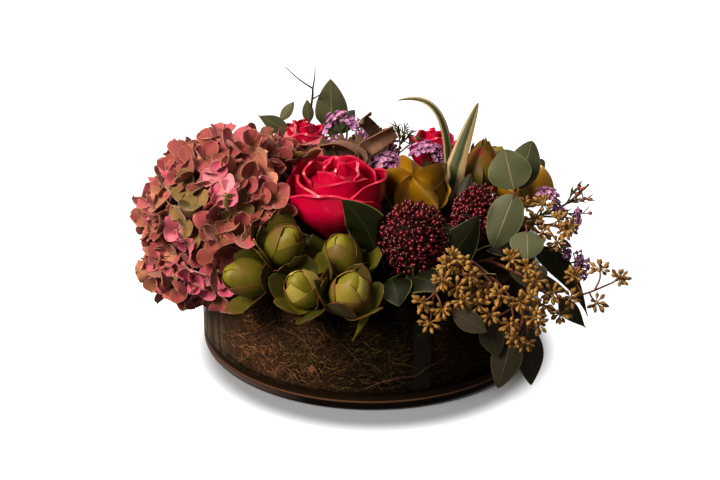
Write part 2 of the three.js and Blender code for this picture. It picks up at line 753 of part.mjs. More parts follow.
function skimmiaLeaves(name) {
  const { centre, axis, spread, leaves } = SKIMMIAS[name];
  const under = axis.clone().normalize().multiplyScalar(-1);
  const top = centre.clone().addScaledVector(under, spread.z - BUD_DEPTH + 2 * SEAT_GAP);
  const low = top.clone().addScaledVector(under, 6);
  const shapes = [stemThrough([low, top], 2.8, 2.8)];
  for (const one of leaves) shapes.push(leaf({ stalk: low.clone().lerp(top, 0.2), ...one, fold: 0.2 }));
  return oneBody(shapes);
}

// Seeded eucalyptus: pods in rays round the end of each twig

const SEEDED = {
  eucalyptus_seed_1: {
    path: [v(55, -80, 87), v(54, -105, 99), v(47, -119, 97), v(41, -127, 88)],
    umbels: [
      [1, v(60, -113, 106)],
      [1.6, v(57, -123, 94)],
      [3, v(39, -131, 72)],
      [2.5, v(34, -130, 86)],
      [0.7, v(68, -114, 95)],
    ],
  },
  eucalyptus_seed_2: {
    path: [v(66, -74, 88), v(75, -100, 94), v(90, -114, 82), v(104, -118, 69), v(106, -120, 60)],
    umbels: [
      [1.2, v(77, -114, 86)],
      [1.7, v(80, -127, 76)],
      [2.3, v(93, -129, 70)],
      [2.6, v(108, -110, 80)],
      [4, v(104, -123, 52)],
      [3.3, v(114, -114, 62)],
    ],
  },
  eucalyptus_seed_3: {
    path: [v(82, -64, 86), v(106, -90, 86), v(126, -92, 71), v(148, -80, 68), v(169, -72, 73)],
    umbels: [
      [0.7, v(96, -92, 101)],
      [1.5, v(124, -99, 78)],
      [2.2, v(131, -94, 60)],
      [3, v(142, -74, 79)],
      [4, v(174, -71, 76)],
      [3.4, v(160, -71, 83)],
      [3.2, v(158, -77, 60)],
    ],
  },
  eucalyptus_seed_4: {
    path: [v(88, -32, 90), v(112, -42, 104), v(128, -46, 106)],
    umbels: [
      [0.7, v(109, -38, 117)],
      [1.2, v(122, -38, 118)],
      [1.1, v(120, -54, 103)],
      [1.7, v(131, -54, 96)],
      [2, v(140, -44, 103)],
    ],
  },
};
const PODS = { knob: 2.2, pods: 7, length: 9, widest: 0.66, girth: 2.5 };
const CUPS = { knob: 2, pods: 4, length: 8, widest: 0.85, girth: 3.4, gather: 0.3 };

// A knob on a twig, with a pod or cup on its other faces, as one closed body. Gather leans the pods forward.
function umbel({ from, knot, knob, pods, length, widest, girth, gather = 0 }) {
  const axis = knot.clone().sub(from);
  const reach = axis.length();
  const frame = frameAt(knot, axis, draw(Math.round(knot.x * 7 + knot.z), 31) * 6);
  const upright = new THREE.Quaternion().setFromUnitVectors(v(1, 1, 1).normalize(), v(0, 0, 1));
  const points = [];
  for (const sign of [1, -1])
    for (const way of [v(1, 0, 0), v(0, 1, 0), v(0, 0, 1)])
      points.push(way.multiplyScalar(sign * knob).applyQuaternion(upright));
  const triangles = [];
  const faces = [
    [1, 1, 1],
    [-1, 1, 1],
    [1, -1, 1],
    [1, 1, -1],
    [-1, -1, 1],
    [1, -1, -1],
    [-1, 1, -1],
    [-1, -1, -1],
  ];
  faces.forEach((signs, f) => {
    const corners = signs.map((sign, i) => (sign > 0 ? i : i + 3));
    if (signs[0] * signs[1] * signs[2] < 0) corners.reverse();
    const middle = corners.reduce((sum, c) => sum.add(points[c]), v(0, 0, 0)).divideScalar(3);
    const grown = f < pods || f === faces.length - 1;
    if (!grown) {
      triangles.push(corners);
      return;
    }
    const way = middle.clone().normalize();
    const twig = f === faces.length - 1;
    if (!twig) way.lerp(v(0, 0, 1), gather).normalize();
    const long = length * mix(0.88, 1.06, draw(f, knot.x));
    const centre = twig ? v(0, 0, -reach) : way.clone().multiplyScalar(long * widest);
    const first = points.length;
    for (const corner of corners) {
      const outward = points[corner].clone().sub(middle).setLength(twig ? 0.75 : girth);
      points.push(centre.clone().add(outward));
    }
    for (let k = 0; k < 3; k++) {
      const next = (k + 1) % 3;
      triangles.push([corners[k], corners[next], first + next], [corners[k], first + next, first + k]);
    }
    if (twig) {
      triangles.push([first, first + 1, first + 2]);
    } else {
      points.push(way.multiplyScalar(long));
      for (let k = 0; k < 3; k++) triangles.push([first + k, first + ((k + 1) % 3), first + 3]);
    }
  });
  return body(points.map((p) => p.applyMatrix4(frame)), triangles);
}

function makeSeeded(name) {
  const { path, umbels } = SEEDED[name];
  const shapes = [stemThrough(path, 1.6, 0.9)];
  for (const [index, knot] of umbels)
    shapes.push(umbel({ ...PODS, from: along(path, index), knot }));
  return oneBody(shapes);
}

// Eucalyptus stems with round or long leaves, each leaf on its own stalk

const LEAFY = {
  eucalyptus_leaf_1: {
    path: [v(93, -32, 92), v(99, -33, 112), v(101, -38, 127), v(105, -52, 121), v(108, -66, 112)],
    leaves: [
      {
        from: 2, root: v(101, -33, 128), tip: v(94, -28, 156), width: 31,
        facing: v(-0.1, -0.95, 0.3), shape: "round",
      },
      {
        from: 1, root: v(104, -21, 124), tip: v(115, -11, 156), width: 25,
        facing: v(0.2, -0.9, 0.3), shape: "round",
      },
      {
        from: 2, root: v(101, -45, 127), tip: v(83, -64, 100), width: 24,
        facing: v(-0.1, -0.8, 0.6), shape: "oval",
      },
      {
        from: 4, root: v(108, -67, 110), tip: v(108, -80, 95), width: 24, facing: v(0.1, -0.8, 0.6),
        shape: "round",
      },
    ],
  },
  eucalyptus_leaf_2: {
    path: [v(60, -62, 92), v(84, -88, 84), v(99, -106, 72), v(104, -110, 62)],
    leaves: [
      {
        from: 3, root: v(97, -118, 58), tip: v(87, -123, 17), width: 21,
        facing: v(-0.2, -0.95, 0.1), shape: "oval",
      },
      {
        from: 3, root: v(108, -106, 56), tip: v(111, -111, 13), width: 20,
        facing: v(0.3, -0.95, 0.1), shape: "oval",
      },
      {
        from: 2, root: v(78, -121, 68), tip: v(86, -124, 42), width: 17,
        facing: v(-0.1, -0.95, 0.2), shape: "oval",
      },
    ],
  },
  eucalyptus_leaf_3: {
    path: [v(96, -52, 84), v(116, -66, 80), v(128, -72, 70)],
    leaves: [
      {
        from: 1, root: v(122, -70, 78), tip: v(144, -64, 66), width: 12, facing: v(0, -0.7, 0.7),
        shape: "oval",
      },
      {
        from: 1, root: v(112, -76, 88), tip: v(118, -86, 78), width: 16, facing: v(0, -0.8, 0.6),
        shape: "round",
      },
      {
        from: 2, root: v(132, -76, 62), tip: v(151, -80, 42), width: 13, facing: v(-0.3, -0.8, 0.4),
        shape: "lance",
      },
    ],
  },
  eucalyptus_leaf_4: {
    path: [v(-40, 78, 92), v(-38, 84, 122), v(-34, 80, 136)],
    leaves: [
      {
        from: 2, root: v(-30, 74, 140), tip: v(-28, 66, 176), width: 23, facing: v(0, -1, 0.05),
        shape: "oval",
      },
      {
        from: 1, root: v(-47, 80, 136), tip: v(-48, 76, 156), width: 9, facing: v(0, -1, 0.1),
        shape: "oval",
      },
      {
        from: 1, root: v(-26, 84, 126), tip: v(-12, 92, 142), width: 14, facing: v(0.2, -0.9, 0.3),
        shape: "oval",
      },
    ],
  },
  eucalyptus_leaf_5: {
    path: [v(-72, 54, 92), v(-74, 56, 120), v(-70, 50, 142)],
    leaves: [
      {
        from: 2, root: v(-66, 45, 147), tip: v(-90, 36, 158), width: 9, facing: v(-0.3, -0.7, 0.6),
        shape: "lance",
      },
      {
        from: 2, root: v(-67, 50, 149), tip: v(-57, 52, 163), width: 8, facing: v(0.1, -0.9, 0.4),
        shape: "oval",
      },
    ],
  },
  eucalyptus_leaf_6: {
    path: [v(-36, 92, 88), v(-50, 114, 90), v(-58, 130, 74)],
    leaves: [
      {
        from: 2, root: v(-60, 132, 68), tip: v(-66, 140, 32), width: 22, facing: v(-0.3, 0.9, 0.1),
        shape: "oval",
      },
      {
        from: 1, root: v(-62, 118, 88), tip: v(-92, 126, 76), width: 22, facing: v(-0.2, 0.7, 0.7),
        shape: "round",
      },
      {
        from: 1, root: v(-44, 120, 90), tip: v(-34, 148, 66), width: 22, facing: v(0, 0.8, 0.6),
        shape: "round",
      },
    ],
  },
  eucalyptus_leaf_7: {
    path: [v(46, 90, 88), v(58, 112, 90), v(66, 128, 74)],
    leaves: [
      {
        from: 2, root: v(68, 130, 68), tip: v(74, 138, 34), width: 22, facing: v(0.3, 0.9, 0.1),
        shape: "oval",
      },
      {
        from: 1, root: v(70, 112, 90), tip: v(98, 118, 78), width: 22, facing: v(0.2, 0.7, 0.7),
        shape: "round",
      },
      {
        from: 1, root: v(52, 118, 90), tip: v(46, 146, 66), width: 22, facing: v(0, 0.8, 0.6),
        shape: "round",
      },
    ],
  },
};

function makeLeafy(name) {
  const { path, leaves } = LEAFY[name];
  const shapes = [stemThrough(path, 1.6, 1)];
  for (const { from, ...one } of leaves) shapes.push(leaf({ stalk: path[from], ...one }));
  return oneBody(shapes);
}

// Statice: flat-topped clusters of small papery cups on a branched stem

const STATICES = {
  statice_1: {
    base: v(-16, 44, 110),
    clusters: [v(-33, 46, 146), v(-26, 48, 155), v(-15, 46, 152), v(-7, 40, 146)],
  },
  statice_2: { base: v(-24, 20, 112), clusters: [v(-37, 26, 139), v(-20, 25, 142)] },
  statice_3: { base: v(11, 16, 108), clusters: [v(5, 12, 134), v(12, 18, 138), v(19, 12, 133)] },
  statice_4: { base: v(36, 28, 104), clusters: [v(35, 24, 138), v(43, 27, 139), v(50, 22, 134)] },
  statice_5: { base: v(104, -14, 88), clusters: [v(126, -22, 122), v(136, -20, 110), v(150, -22, 100)] },
  statice_6: { base: v(104, -28, 80), clusters: [v(141, -40, 84), v(150, -44, 76), v(154, -42, 68)] },
};
function makeStatice(name) {
  const { base, clusters } = STATICES[name];
  const centre = clusters.reduce((sum, c) => sum.add(c), v(0, 0, 0)).divideScalar(clusters.length);
  const stem = [base, base.clone().lerp(centre, 0.6)];
  const shapes = [stemThrough(stem, 1.5, 1.2)];
  clusters.forEach((top, i) => {
    const from = along(stem, mix(0.95, 0.55, i / (clusters.length - 1)));
    const knot = top.clone().lerp(from, 6 / top.distanceTo(from));
    shapes.push(umbel({ ...CUPS, from, knot }));
  });
  return oneBody(shapes);
}

// Long striped leaves, dried curls, waxflower sprigs, a bare twig and a dark pointed leaf

const STRAPS = {
  striped_leaf_1: {
    root: v(55, 8, 104), bend: v(62, 26, 190), tip: v(20, 30, 173), width: 13,
    facing: v(-0.1, -0.97, 0.3),
  },
  striped_leaf_2: {
    root: v(60, -6, 108), bend: v(62, 0, 134), tip: v(77, 8, 178), width: 17,
    facing: v(-0.2, -0.95, 0.1),
  },
};

function makeStrap(name) {
  const spec = STRAPS[name];
  const past = spec.root.clone().lerp(spec.bend, 0.06);
  const blade = leaf({ ...spec, shape: "strap", rows: 7, fold: 0.25 });
  return oneBody([blade, stemThrough([spec.root, past], 1.8, 1.8)]);
}

const CURLS = {
  dried_curl_1: {
    root: v(-6, 10, 106), line: [v(-7, 8, 128), v(-5, 6, 142), v(4, 4, 150), v(17, 8, 157)],
    width: 13, facing: v(0.1, -0.8, 0.5),
  },
  dried_curl_2: {
    root: v(-14, 4, 110), line: [v(-12, 2, 128), v(-8, -2, 142), v(-22, 0, 149), v(-36, 4, 145)],
    width: 11, facing: v(0, -0.5, 0.85),
  },
  dried_curl_3: {
    root: v(8, 30, 110), line: [v(8, 30, 130), v(2, 26, 148), v(-6, 24, 158), v(-4, 18, 164)],
    width: 12, facing: v(0.3, -0.9, 0.2),
  },
};

function makeCurl(name) {
  const { root, line, width, facing } = CURLS[name];
  const path = new THREE.CatmullRomCurve3([root, ...line]);
  const rows = 6;
  const grid = [];
  for (let i = 0; i <= rows; i++) {
    const s = i / rows;
    const turned = facing.clone().applyAxisAngle(path.getTangent(s), degrees(50) * s);
    const across = path.getTangent(s).cross(turned).normalize();
    const half = (width / 2) * Math.min(1, 0.3 + 2.5 * s);
    grid.push([-1, 0, 1].map((t) => path.getPoint(s).addScaledVector(across, t * half)));
  }
  return oneBody([sheet(grid, 1), stemThrough([root, path.getPoint(0.08)], 1.6, 1.6)]);
}

const SPRIGS = {
  waxflower_1: {
    path: [v(104, 0, 86), v(126, -4, 96), v(142, -8, 106), v(157, -12, 123)],
    tips: [
      [2, v(157, -14, 112)],
      [2, v(150, -6, 118)],
      [1, v(157, -16, 102)],
      [2, v(152, -16, 120)],
    ],
    needle: 2.2,
  },
  waxflower_2: {
    path: [v(20, 46, 104), v(21, 46, 124), v(22, 44, 132)],
    tips: [
      [2, v(20, 44, 146)],
      [2, v(26, 42, 147)],
      [2, v(31, 44, 143)],
      [1, v(34, 42, 136)],
    ],
    needle: 1,
  },
  bare_twig: {
    path: [v(-60, 84, 88), v(-60, 86, 126), v(-51, 72, 160), v(-45, 55, 173)],
    tips: [
      [3, v(-63, 50, 191)],
      [3, v(-41, 52, 190)],
      [2, v(-37, 56, 168)],
    ],
    needle: 0.7,
  },
};

function makeSprig(name) {
  const { path, tips, needle } = SPRIGS[name];
  const shapes = [stemThrough(path, 1.4, 0.8)];
  for (const [index, tip] of tips) {
    const from = path[index];
    const belly = tip.clone().addScaledVector(tip.clone().sub(from).normalize(), -2);
    shapes.push(rod([from, belly, tip], [0.7, needle, 0.5], 3));
  }
  return oneBody(shapes);
}

function makeDarkLeaf() {
  const low = v(100, -38, 88);
  const root = v(114, -42, 86);
  const tip = v(155, -58, 40);
  const bend = v(140, -50, 82);
  const facing = v(-0.2, -0.6, 0.8);
  const blade = leaf({ root, tip, bend, facing, width: 17, shape: "lance", fold: 0.2 });
  return oneBody([blade, stemThrough([low, root.clone().lerp(tip, 0.08)], 1.5, 1)]);
}

// The hydrangea's stem stands in a socket in the core of the head.
function makeHydrangeaStem() {
  return stemThrough([v(-78, -17, 96)], 4, 4, 6);
}

// Materials

function finish(color, roughness, extra = {}) {
  return new THREE.MeshStandardMaterial({ color, roughness, metalness: 0, ...extra });
}
const FINISHES = {
  glass: finish(0xd9e2dc, 0.05, { transparent: true, opacity: 0.35 }),
  moss: finish(0x4a3a22, 0.95),
  foam: finish(0x24301f, 0.9),
  pink: finish(0xa85a5c, 0.75),
  red: finish(0xb3052e, 0.2),
  olive: finish(0x7a5c10, 0.25),
  green: finish(0x5c5f22, 0.5),
  stem: finish(0x4b4a24, 0.6),
  berry: finish(0x5c1424, 0.3),
  dark: finish(0x222c12, 0.35),
  pods: finish(0x8a6630, 0.6),
  grey: finish(0x5c6b4c, 0.6),
  lilac: finish(0x8f5f93, 0.8),
  striped: finish(0xb9a183, 0.5),
  dried: finish(0x6e4a38, 0.85),
};

// Putting it together. A piece made later gives way where it still meets one made before.

const pieces = [];
function add(name, material, made) {
  pieces.push({ name, material, made });
}

function boxesMeet(a, b) {
  const [p, q] = [a.boundingBox(), b.boundingBox()];
  return [0, 1, 2].every((i) => p.min[i] < q.max[i] + 1 && q.min[i] < p.max[i] + 1);
}

function giveWay(list) {
  list.forEach((piece, i) => {
    for (const before of list.slice(0, i)) {
      if (!boxesMeet(piece.made, before.made) || piece.made.minGap(before.made, 1) > 0.25) continue;
      piece.made = oneBody([piece.made.subtract(solid(geometryOf(before.made, SEAT_GAP + 0.25)))]);
    }
  });
}

add("bowl", FINISHES.glass, makeBowl());
add("moss_lining", FINISHES.moss, makeMoss());
for (const name of Object.keys(ROSES)) {
  const colour = name.includes("red") ? "red" : "olive";
  add(name, FINISHES[colour], roseBloom(ROSES[name]));
  add(name + "_stem", FINISHES.stem, roseStem(ROSES[name]));
}
for (const name of Object.keys(LEUCADENDRONS)) add(name, FINISHES.green, makeLeucadendron(name));
for (const name of Object.keys(SKIMMIAS)) {
  add(name + "_buds", FINISHES.berry, skimmiaBuds(name));
  add(name + "_leaves", FINISHES.dark, skimmiaLeaves(name));
}
for (const name of Object.keys(STRAPS)) add(name, FINISHES.striped, makeStrap(name));
for (const name of Object.keys(LEAFY)) add(name, FINISHES.grey, makeLeafy(name));
for (const name of Object.keys(SEEDED)) add(name, FINISHES.pods, makeSeeded(name));
for (const name of Object.keys(STATICES)) add(name, FINISHES.lilac, makeStatice(name));
for (const name of Object.keys(CURLS)) add(name, FINISHES.dried, makeCurl(name));
for (const name of Object.keys(SPRIGS)) add(name, FINISHES.stem, makeSprig(name));
add("dark_leaf", FINISHES.dark, makeDarkLeaf());
add("hydrangea_stem", FINISHES.stem, makeHydrangeaStem());
add("hydrangea_head", FINISHES.pink, makeHydrangea());
giveWay(pieces);
add("foam", FINISHES.foam, makeFoam(stemHoles));

const centerpiece = new THREE.Group();
for (const { name, material, made } of pieces) {
  const mesh = new THREE.Mesh(geometryOf(made), material);
  mesh.name = name;
  centerpiece.add(mesh);
}

export default centerpiece;
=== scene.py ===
"""Looks of a floral table centrepiece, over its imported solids.

A low glass bowl lined with moss, and above it a hydrangea head, waxed roses, leucadendron heads,
skimmia buds, seeded eucalyptus, statice, leaves, dried curls and twigs. Shapes are worked out in
millimetres and made in metres. +Z is up and -Y is the front.
"""

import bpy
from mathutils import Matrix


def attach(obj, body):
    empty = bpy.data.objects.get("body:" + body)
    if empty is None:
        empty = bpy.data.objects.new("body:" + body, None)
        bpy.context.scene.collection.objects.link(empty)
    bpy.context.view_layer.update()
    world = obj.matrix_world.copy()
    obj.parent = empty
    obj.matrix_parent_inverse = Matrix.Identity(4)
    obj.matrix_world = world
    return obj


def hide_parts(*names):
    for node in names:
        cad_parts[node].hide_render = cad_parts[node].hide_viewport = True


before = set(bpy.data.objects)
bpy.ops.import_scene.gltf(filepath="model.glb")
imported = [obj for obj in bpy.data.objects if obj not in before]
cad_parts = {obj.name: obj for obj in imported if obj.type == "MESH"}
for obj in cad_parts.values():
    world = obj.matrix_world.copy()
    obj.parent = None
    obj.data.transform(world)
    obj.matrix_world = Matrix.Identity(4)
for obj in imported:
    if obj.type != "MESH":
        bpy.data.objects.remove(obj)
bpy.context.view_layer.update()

import math

import bpy
import numpy as np
from mathutils import Vector

METRES = 0.001
GOLDEN_ANGLE = math.pi * (3 - math.sqrt(5))

# Driving dimensions, as in the solids

BOWL_RADIUS = 125.0
BOWL_HEIGHT = 75.0
GLASS_WALL = 3.5
GLASS_BASE = 8.0
MOSS_RADIUS = 115.0
MOSS_TOP = 68.0
FOAM_RADIUS = 96.0
FOAM_TOP = 92.0
STEM_FOCUS = np.array([0.0, 0.0, 34.0])  # every stem points at it
DOME_FOOT = MOSS_TOP + 4  # height of the foam's dome at its edge
DOME_POWER = 2.6  # 2 would make the dome's section an oval, and more fills its shoulder
WALL_GAP = 2.0  # clearance outside the bowl's wall and above its rim
RIM_BAND = 12.0  # width inside the wall where points are moved out, and not up
FOAM_GAP = 1.5  # clearance over the foam

# Dimensions of this scene alone

HEEL = 3.5  # radius of the rounded edge of the foot, smaller than the solid's
FILLET = 4.0  # radius between the bowl's inside wall and its floor
MOSS_REACH = BOWL_RADIUS - GLASS_WALL - 0.7  # no fibre lies further out
STEM_DEPTH = 20.0  # from the first point of a stem's path down to its end in the foam


def vec(*numbers):
    """Numbers as an array."""
    return np.array(numbers, float)


def unit(a):
    """Vectors brought to a length of 1."""
    return a / np.maximum(np.linalg.norm(a, axis=-1, keepdims=True), 1e-9)


def mix(a, b, share):
    """A straight mix: a where the share is 0, and b where it is 1."""
    return a + (b - a) * share


def draws(seed):
    """Random draws that are the same in each run."""
    return np.random.default_rng(seed)


def round_axis(reach, angle, height):
    """Points at a reach from the +Z axis, at an angle round it and at a height."""
    parts = np.broadcast_arrays(reach * np.cos(angle), reach * np.sin(angle), height)
    return np.stack(parts, axis=-1)


def golden_ways(rise):
    """Ways of length 1, each with its rise along +Z, golden angles apart round it."""
    level = np.sqrt(np.maximum(1 - rise**2, 0))
    return round_axis(level, np.arange(len(rise)) * GOLDEN_ANGLE, rise)


def straight(low, high, steps=3):
    """Straight paths (count, steps, 3) from low points to high ones."""
    return mix(low[:, None], high[:, None], np.linspace(0, 1, steps)[None, :, None])


# Rounded spaces, each held by the bloom that it is named for: centre and radii

SPACES = {
    "hydrangea": (vec(-96, -23, 101), vec(68, 69, 60)),
    "rose_red_1": (vec(-25, -42, 126), vec(42, 40, 34)),
    "rose_red_2": (vec(-46, 54, 127), vec(24, 24, 22)),
    "rose_red_3": (vec(50, 62, 119), vec(24, 24, 22)),
    "rose_olive_1": (vec(35, -13, 124), vec(26, 26, 23)),
    "rose_olive_2": (vec(108, 22, 104), vec(24, 24, 22)),
    "leucadendron_1": (vec(-90, -101, 94), vec(22, 22, 21)),
    "leucadendron_2": (vec(-58, -92, 114), vec(20, 19.5, 19)),
    "leucadendron_3": (vec(-20, -95, 106), vec(18.5, 18, 18.5)),
    "leucadendron_4": (vec(-50, -121, 94), vec(17.5, 17, 16.5)),
    "leucadendron_5": (vec(-14, -131, 95), vec(17.5, 17, 16.5)),
    "leucadendron_6": (vec(82, 20, 128), vec(15, 15, 22)),
    "leucadendron_7": (vec(-84, 84, 104), vec(17, 17, 18)),
    "leucadendron_8": (vec(96, 76, 104), vec(17, 17, 18)),
    "skimmia_1": (vec(29, -84, 113), vec(24.5, 24, 30)),
    "skimmia_2": (vec(74, -45, 113), vec(18.5, 18.5, 25.5)),
    "skimmia_3": (vec(2, 90, 108), vec(22.5, 22.5, 21.5)),
}


def foam_surface(radius):
    """Height of the foam's dome: an oval's fourth over the radius, its shoulder filled out."""
    shoulder = np.minimum(radius / FOAM_RADIUS, 1)
    return mix(DOME_FOOT, FOAM_TOP, np.sqrt(1 - shoulder**DOME_POWER))


def clear_of(points, own=(), gap=1.2):
    """Points pushed out of every space but the named ones, out of the bowl's wall and off the foam.

    A point in an oval is moved along the line from its centre until it lies on the oval. One in the
    band inside the wall is moved out over the wall, and one further in is lifted over the foam or
    the rim.
    """
    moved = np.array(points, float)
    for name, (centre, radii) in SPACES.items():
        if name in own:
            continue
        reach = (moved - centre) / (radii + gap)
        length = np.linalg.norm(reach, axis=-1, keepdims=True)
        outside = centre + reach / np.maximum(length, 1e-6) * (radii + gap)
        moved = np.where(length < 1, outside, moved)
    radius = np.hypot(moved[..., 0], moved[..., 1])
    wall = BOWL_RADIUS + WALL_GAP
    rim = BOWL_HEIGHT + WALL_GAP
    beside = (radius < wall) & (radius > wall - RIM_BAND)
    beside = beside & (moved[..., 2] < rim - (wall - radius))
    push = np.where(beside, wall / np.maximum(radius, 1), 1)
    moved[..., :2] *= push[..., None]
    floor = np.where(radius < FOAM_RADIUS, np.maximum(foam_surface(radius) + FOAM_GAP, rim), rim)
    lifted = (radius < wall) & ~beside
    moved[..., 2] = np.where(lifted, np.maximum(moved[..., 2], floor), moved[..., 2])
    return moved


def taken(points, own=(), gap=1.0):
    """Whether a space other than the named ones, the bowl or the foam holds each point."""
    return np.linalg.norm(clear_of(points, own, gap) - points, axis=-1) > 1e-6


def stand(axes, spins=0.0):
    """Turns, a matrix each: a spin about +Z, then the shortest way from +Z onto an axis."""
    axes = unit(np.atleast_2d(np.asarray(axes, float)))
    spins = np.broadcast_to(spins, len(axes))
    zero = np.zeros(len(axes))
    x, y, z = axes.T
    rows = [[zero, zero, x], [zero, zero, y], [-x, -y, zero]]
    cross = np.moveaxis(np.array(rows), 2, 0)
    lean = np.eye(3) + cross + cross @ cross / (1 + z)[:, None, None]
    cos, sin, one = np.cos(spins), np.sin(spins), np.ones(len(axes))
    spin = np.moveaxis(np.array([[cos, -sin, zero], [sin, cos, zero], [zero, zero, one]]), 2, 0)
    return lean @ spin


def put(local, turns, bases):
    """Local points (count, ..., 3) turned and moved to their bases."""
    turned_points = np.einsum("kij,k...j->k...i", turns, local)
    bases = np.asarray(bases, float)
    return turned_points + bases.reshape(len(bases), *([1] * (local.ndim - 2)), 3)


def curve(points, steps):
    """A smooth line through points: cubics whose slope at a point follows its neighbours."""
    p = np.asarray(points, float)
    p = np.vstack([2 * p[0] - p[1], p, 2 * p[-1] - p[-2]])
    share = np.linspace(0, len(p) - 3, steps)
    i = np.minimum(share.astype(int), len(p) - 4)
    u = (share - i)[:, None]
    a, b, c, d = p[i], p[i + 1], p[i + 2], p[i + 3]
    bent = (2 * a - 5 * b + 4 * c - d) * u**2 + (3 * b - a - 3 * c + d) * u**3
    return b + 0.5 * ((c - a) * u + bent)


# Gathering the surfaces of one piece

# shade darkens a surface as painted shade, but on the bracts it holds their own red flush
VALUES = ("along", "across", "tone", "shade")


class Gathered:
    """The points, faces and values of one piece. Paint is the number of a face's material."""

    def __init__(self):
        self.points = []
        self.faces = {4: [], 3: []}
        self.paints = {4: [], 3: []}
        self.values = {name: [] for name in VALUES}
        self.count = 0

    def add(self, points, quads, triangles=(), paint=0, **values):
        """Adds points and the faces between them. A value that isn't given is 0."""
        shape = points.shape[:-1]
        for sides, faces in ((4, quads), (3, triangles)):
            if len(faces) == 0:
                continue
            flat = faces.reshape(-1, sides)
            self.faces[sides].append(flat + self.count)
            self.paints[sides].append(np.full(len(flat), paint))
        for name in VALUES:
            self.values[name].append(np.broadcast_to(values.get(name, 0.0), shape).ravel())
        self.points.append(points.reshape(-1, 3))
        self.count += int(np.prod(shape))


def cells(index):
    """The four-cornered faces between neighbours in grids of point numbers."""
    corners = [index[:, :-1, :-1], index[:, :-1, 1:], index[:, 1:, 1:], index[:, 1:, :-1]]
    return np.stack(corners, axis=-1)


def sheets(lot, middle, thickness, paint=0, **values):
    """Thin closed blades from grids of middle points (count, rows, columns, 3).

    The normal is the slope across times the slope along. Each grid is moved half the thickness
    along it both ways, and a strip closes the border.
    """
    count, rows, columns, _ = middle.shape
    normal = unit(np.cross(np.gradient(middle, axis=2), np.gradient(middle, axis=1)))
    half = np.asarray(thickness, float)[..., None] / 2 if np.ndim(thickness) else thickness / 2
    points = np.stack([middle + normal * half, middle - normal * half], axis=1)
    index = np.arange(count * 2 * rows * columns).reshape(count, 2, rows, columns)
    top, under = index[:, 0], index[:, 1]
    quads = [cells(top).reshape(-1, 4), cells(under).reshape(-1, 4)[:, ::-1]]
    left = [top[:, :-1, 0], top[:, 1:, 0], under[:, 1:, 0], under[:, :-1, 0]]
    right = [top[:, :-1, -1], under[:, :-1, -1], under[:, 1:, -1], top[:, 1:, -1]]
    foot = [top[:, 0, :-1], under[:, 0, :-1], under[:, 0, 1:], top[:, 0, 1:]]
    end = [top[:, -1, :-1], top[:, -1, 1:], under[:, -1, 1:], under[:, -1, :-1]]
    quads += [np.stack(side, axis=-1).reshape(-1, 4) for side in (left, right, foot, end)]
    values.setdefault("along", np.linspace(0, 1, rows)[:, None])
    values.setdefault("across", np.linspace(-1, 1, columns))
    doubled = {}
    for name, value in values.items():
        doubled[name] = np.broadcast_to(value, middle.shape[:-1])[:, None]
    lot.add(points, np.concatenate(quads), paint=paint, **doubled)


def rings(lot, around, low, high, paint=0, **values):
    """Closed bodies from rings of points (count, rings, sides, 3), with a pole at both ends."""
    count, steps, sides, _ = around.shape
    points = np.concatenate([around.reshape(count, -1, 3), low[:, None], high[:, None]], axis=1)
    first = (np.arange(count) * points.shape[1])[:, None, None]
    index = first + np.arange(steps * sides).reshape(1, steps, sides)
    wrapped = np.concatenate([index, index[:, :, :1]], axis=2)
    bottom = np.broadcast_to(first[:, 0] + steps * sides, (count, sides))
    top = bottom + 1
    under = np.stack([bottom, wrapped[:, 0, 1:], wrapped[:, 0, :-1]], axis=-1)
    over = np.stack([top, wrapped[:, -1, :-1], wrapped[:, -1, 1:]], axis=-1)
    spread = {}
    for name, value in values.items():
        full = np.broadcast_to(value, (count, steps, sides)).reshape(count, -1)
        spread[name] = np.concatenate([full, full[:, :1], full[:, -1:]], axis=1)
    lot.add(points, cells(wrapped), np.concatenate([under, over], axis=1), paint=paint, **spread)


def turned(lot, profile, sides, turns, bases, sizes=1.0, lobes=(0, 0.0), paint=0, **values):
    """Closed bodies turned about an axis, from a profile of radii and heights.

    The first and last points lie on the axis. Lobes makes the radius swell and sink by a share,
    some times round.
    """
    profile = np.asarray(profile, float)
    angle = 2 * np.pi * np.arange(sides) / sides
    swell = 1 + lobes[1] * np.cos(lobes[0] * angle)
    radius = profile[1:-1, 0, None] * swell
    local = round_axis(radius, angle, profile[1:-1, 1, None])
    sizes = np.broadcast_to(sizes, len(turns))[:, None, None, None]
    poles = profile[[0, -1], 1]
    around = put(local[None] * sizes, turns, bases)
    low = np.asarray(bases) + turns[:, :, 2] * poles[0] * sizes[:, 0, 0]
    high = np.asarray(bases) + turns[:, :, 2] * poles[1] * sizes[:, 0, 0]
    values.setdefault("along", np.linspace(0, 1, len(profile) - 2)[:, None])
    rings(lot, around, low, high, paint=paint, **values)


def ball(sides, rows, last):
    """A ball's points, quads and triangles. Its rows lie between the angles -last and last."""
    around = [(math.cos(a), math.sin(a)) for a in np.linspace(-last, last, rows)]
    profile = [(0, -1), *around, (0, 1)]
    lot = Gathered()
    turned(lot, profile, sides, stand(vec(0, 0, 1)), [vec(0, 0, 0)])
    return lot.points[0], lot.faces[4][0], lot.faces[3][0]


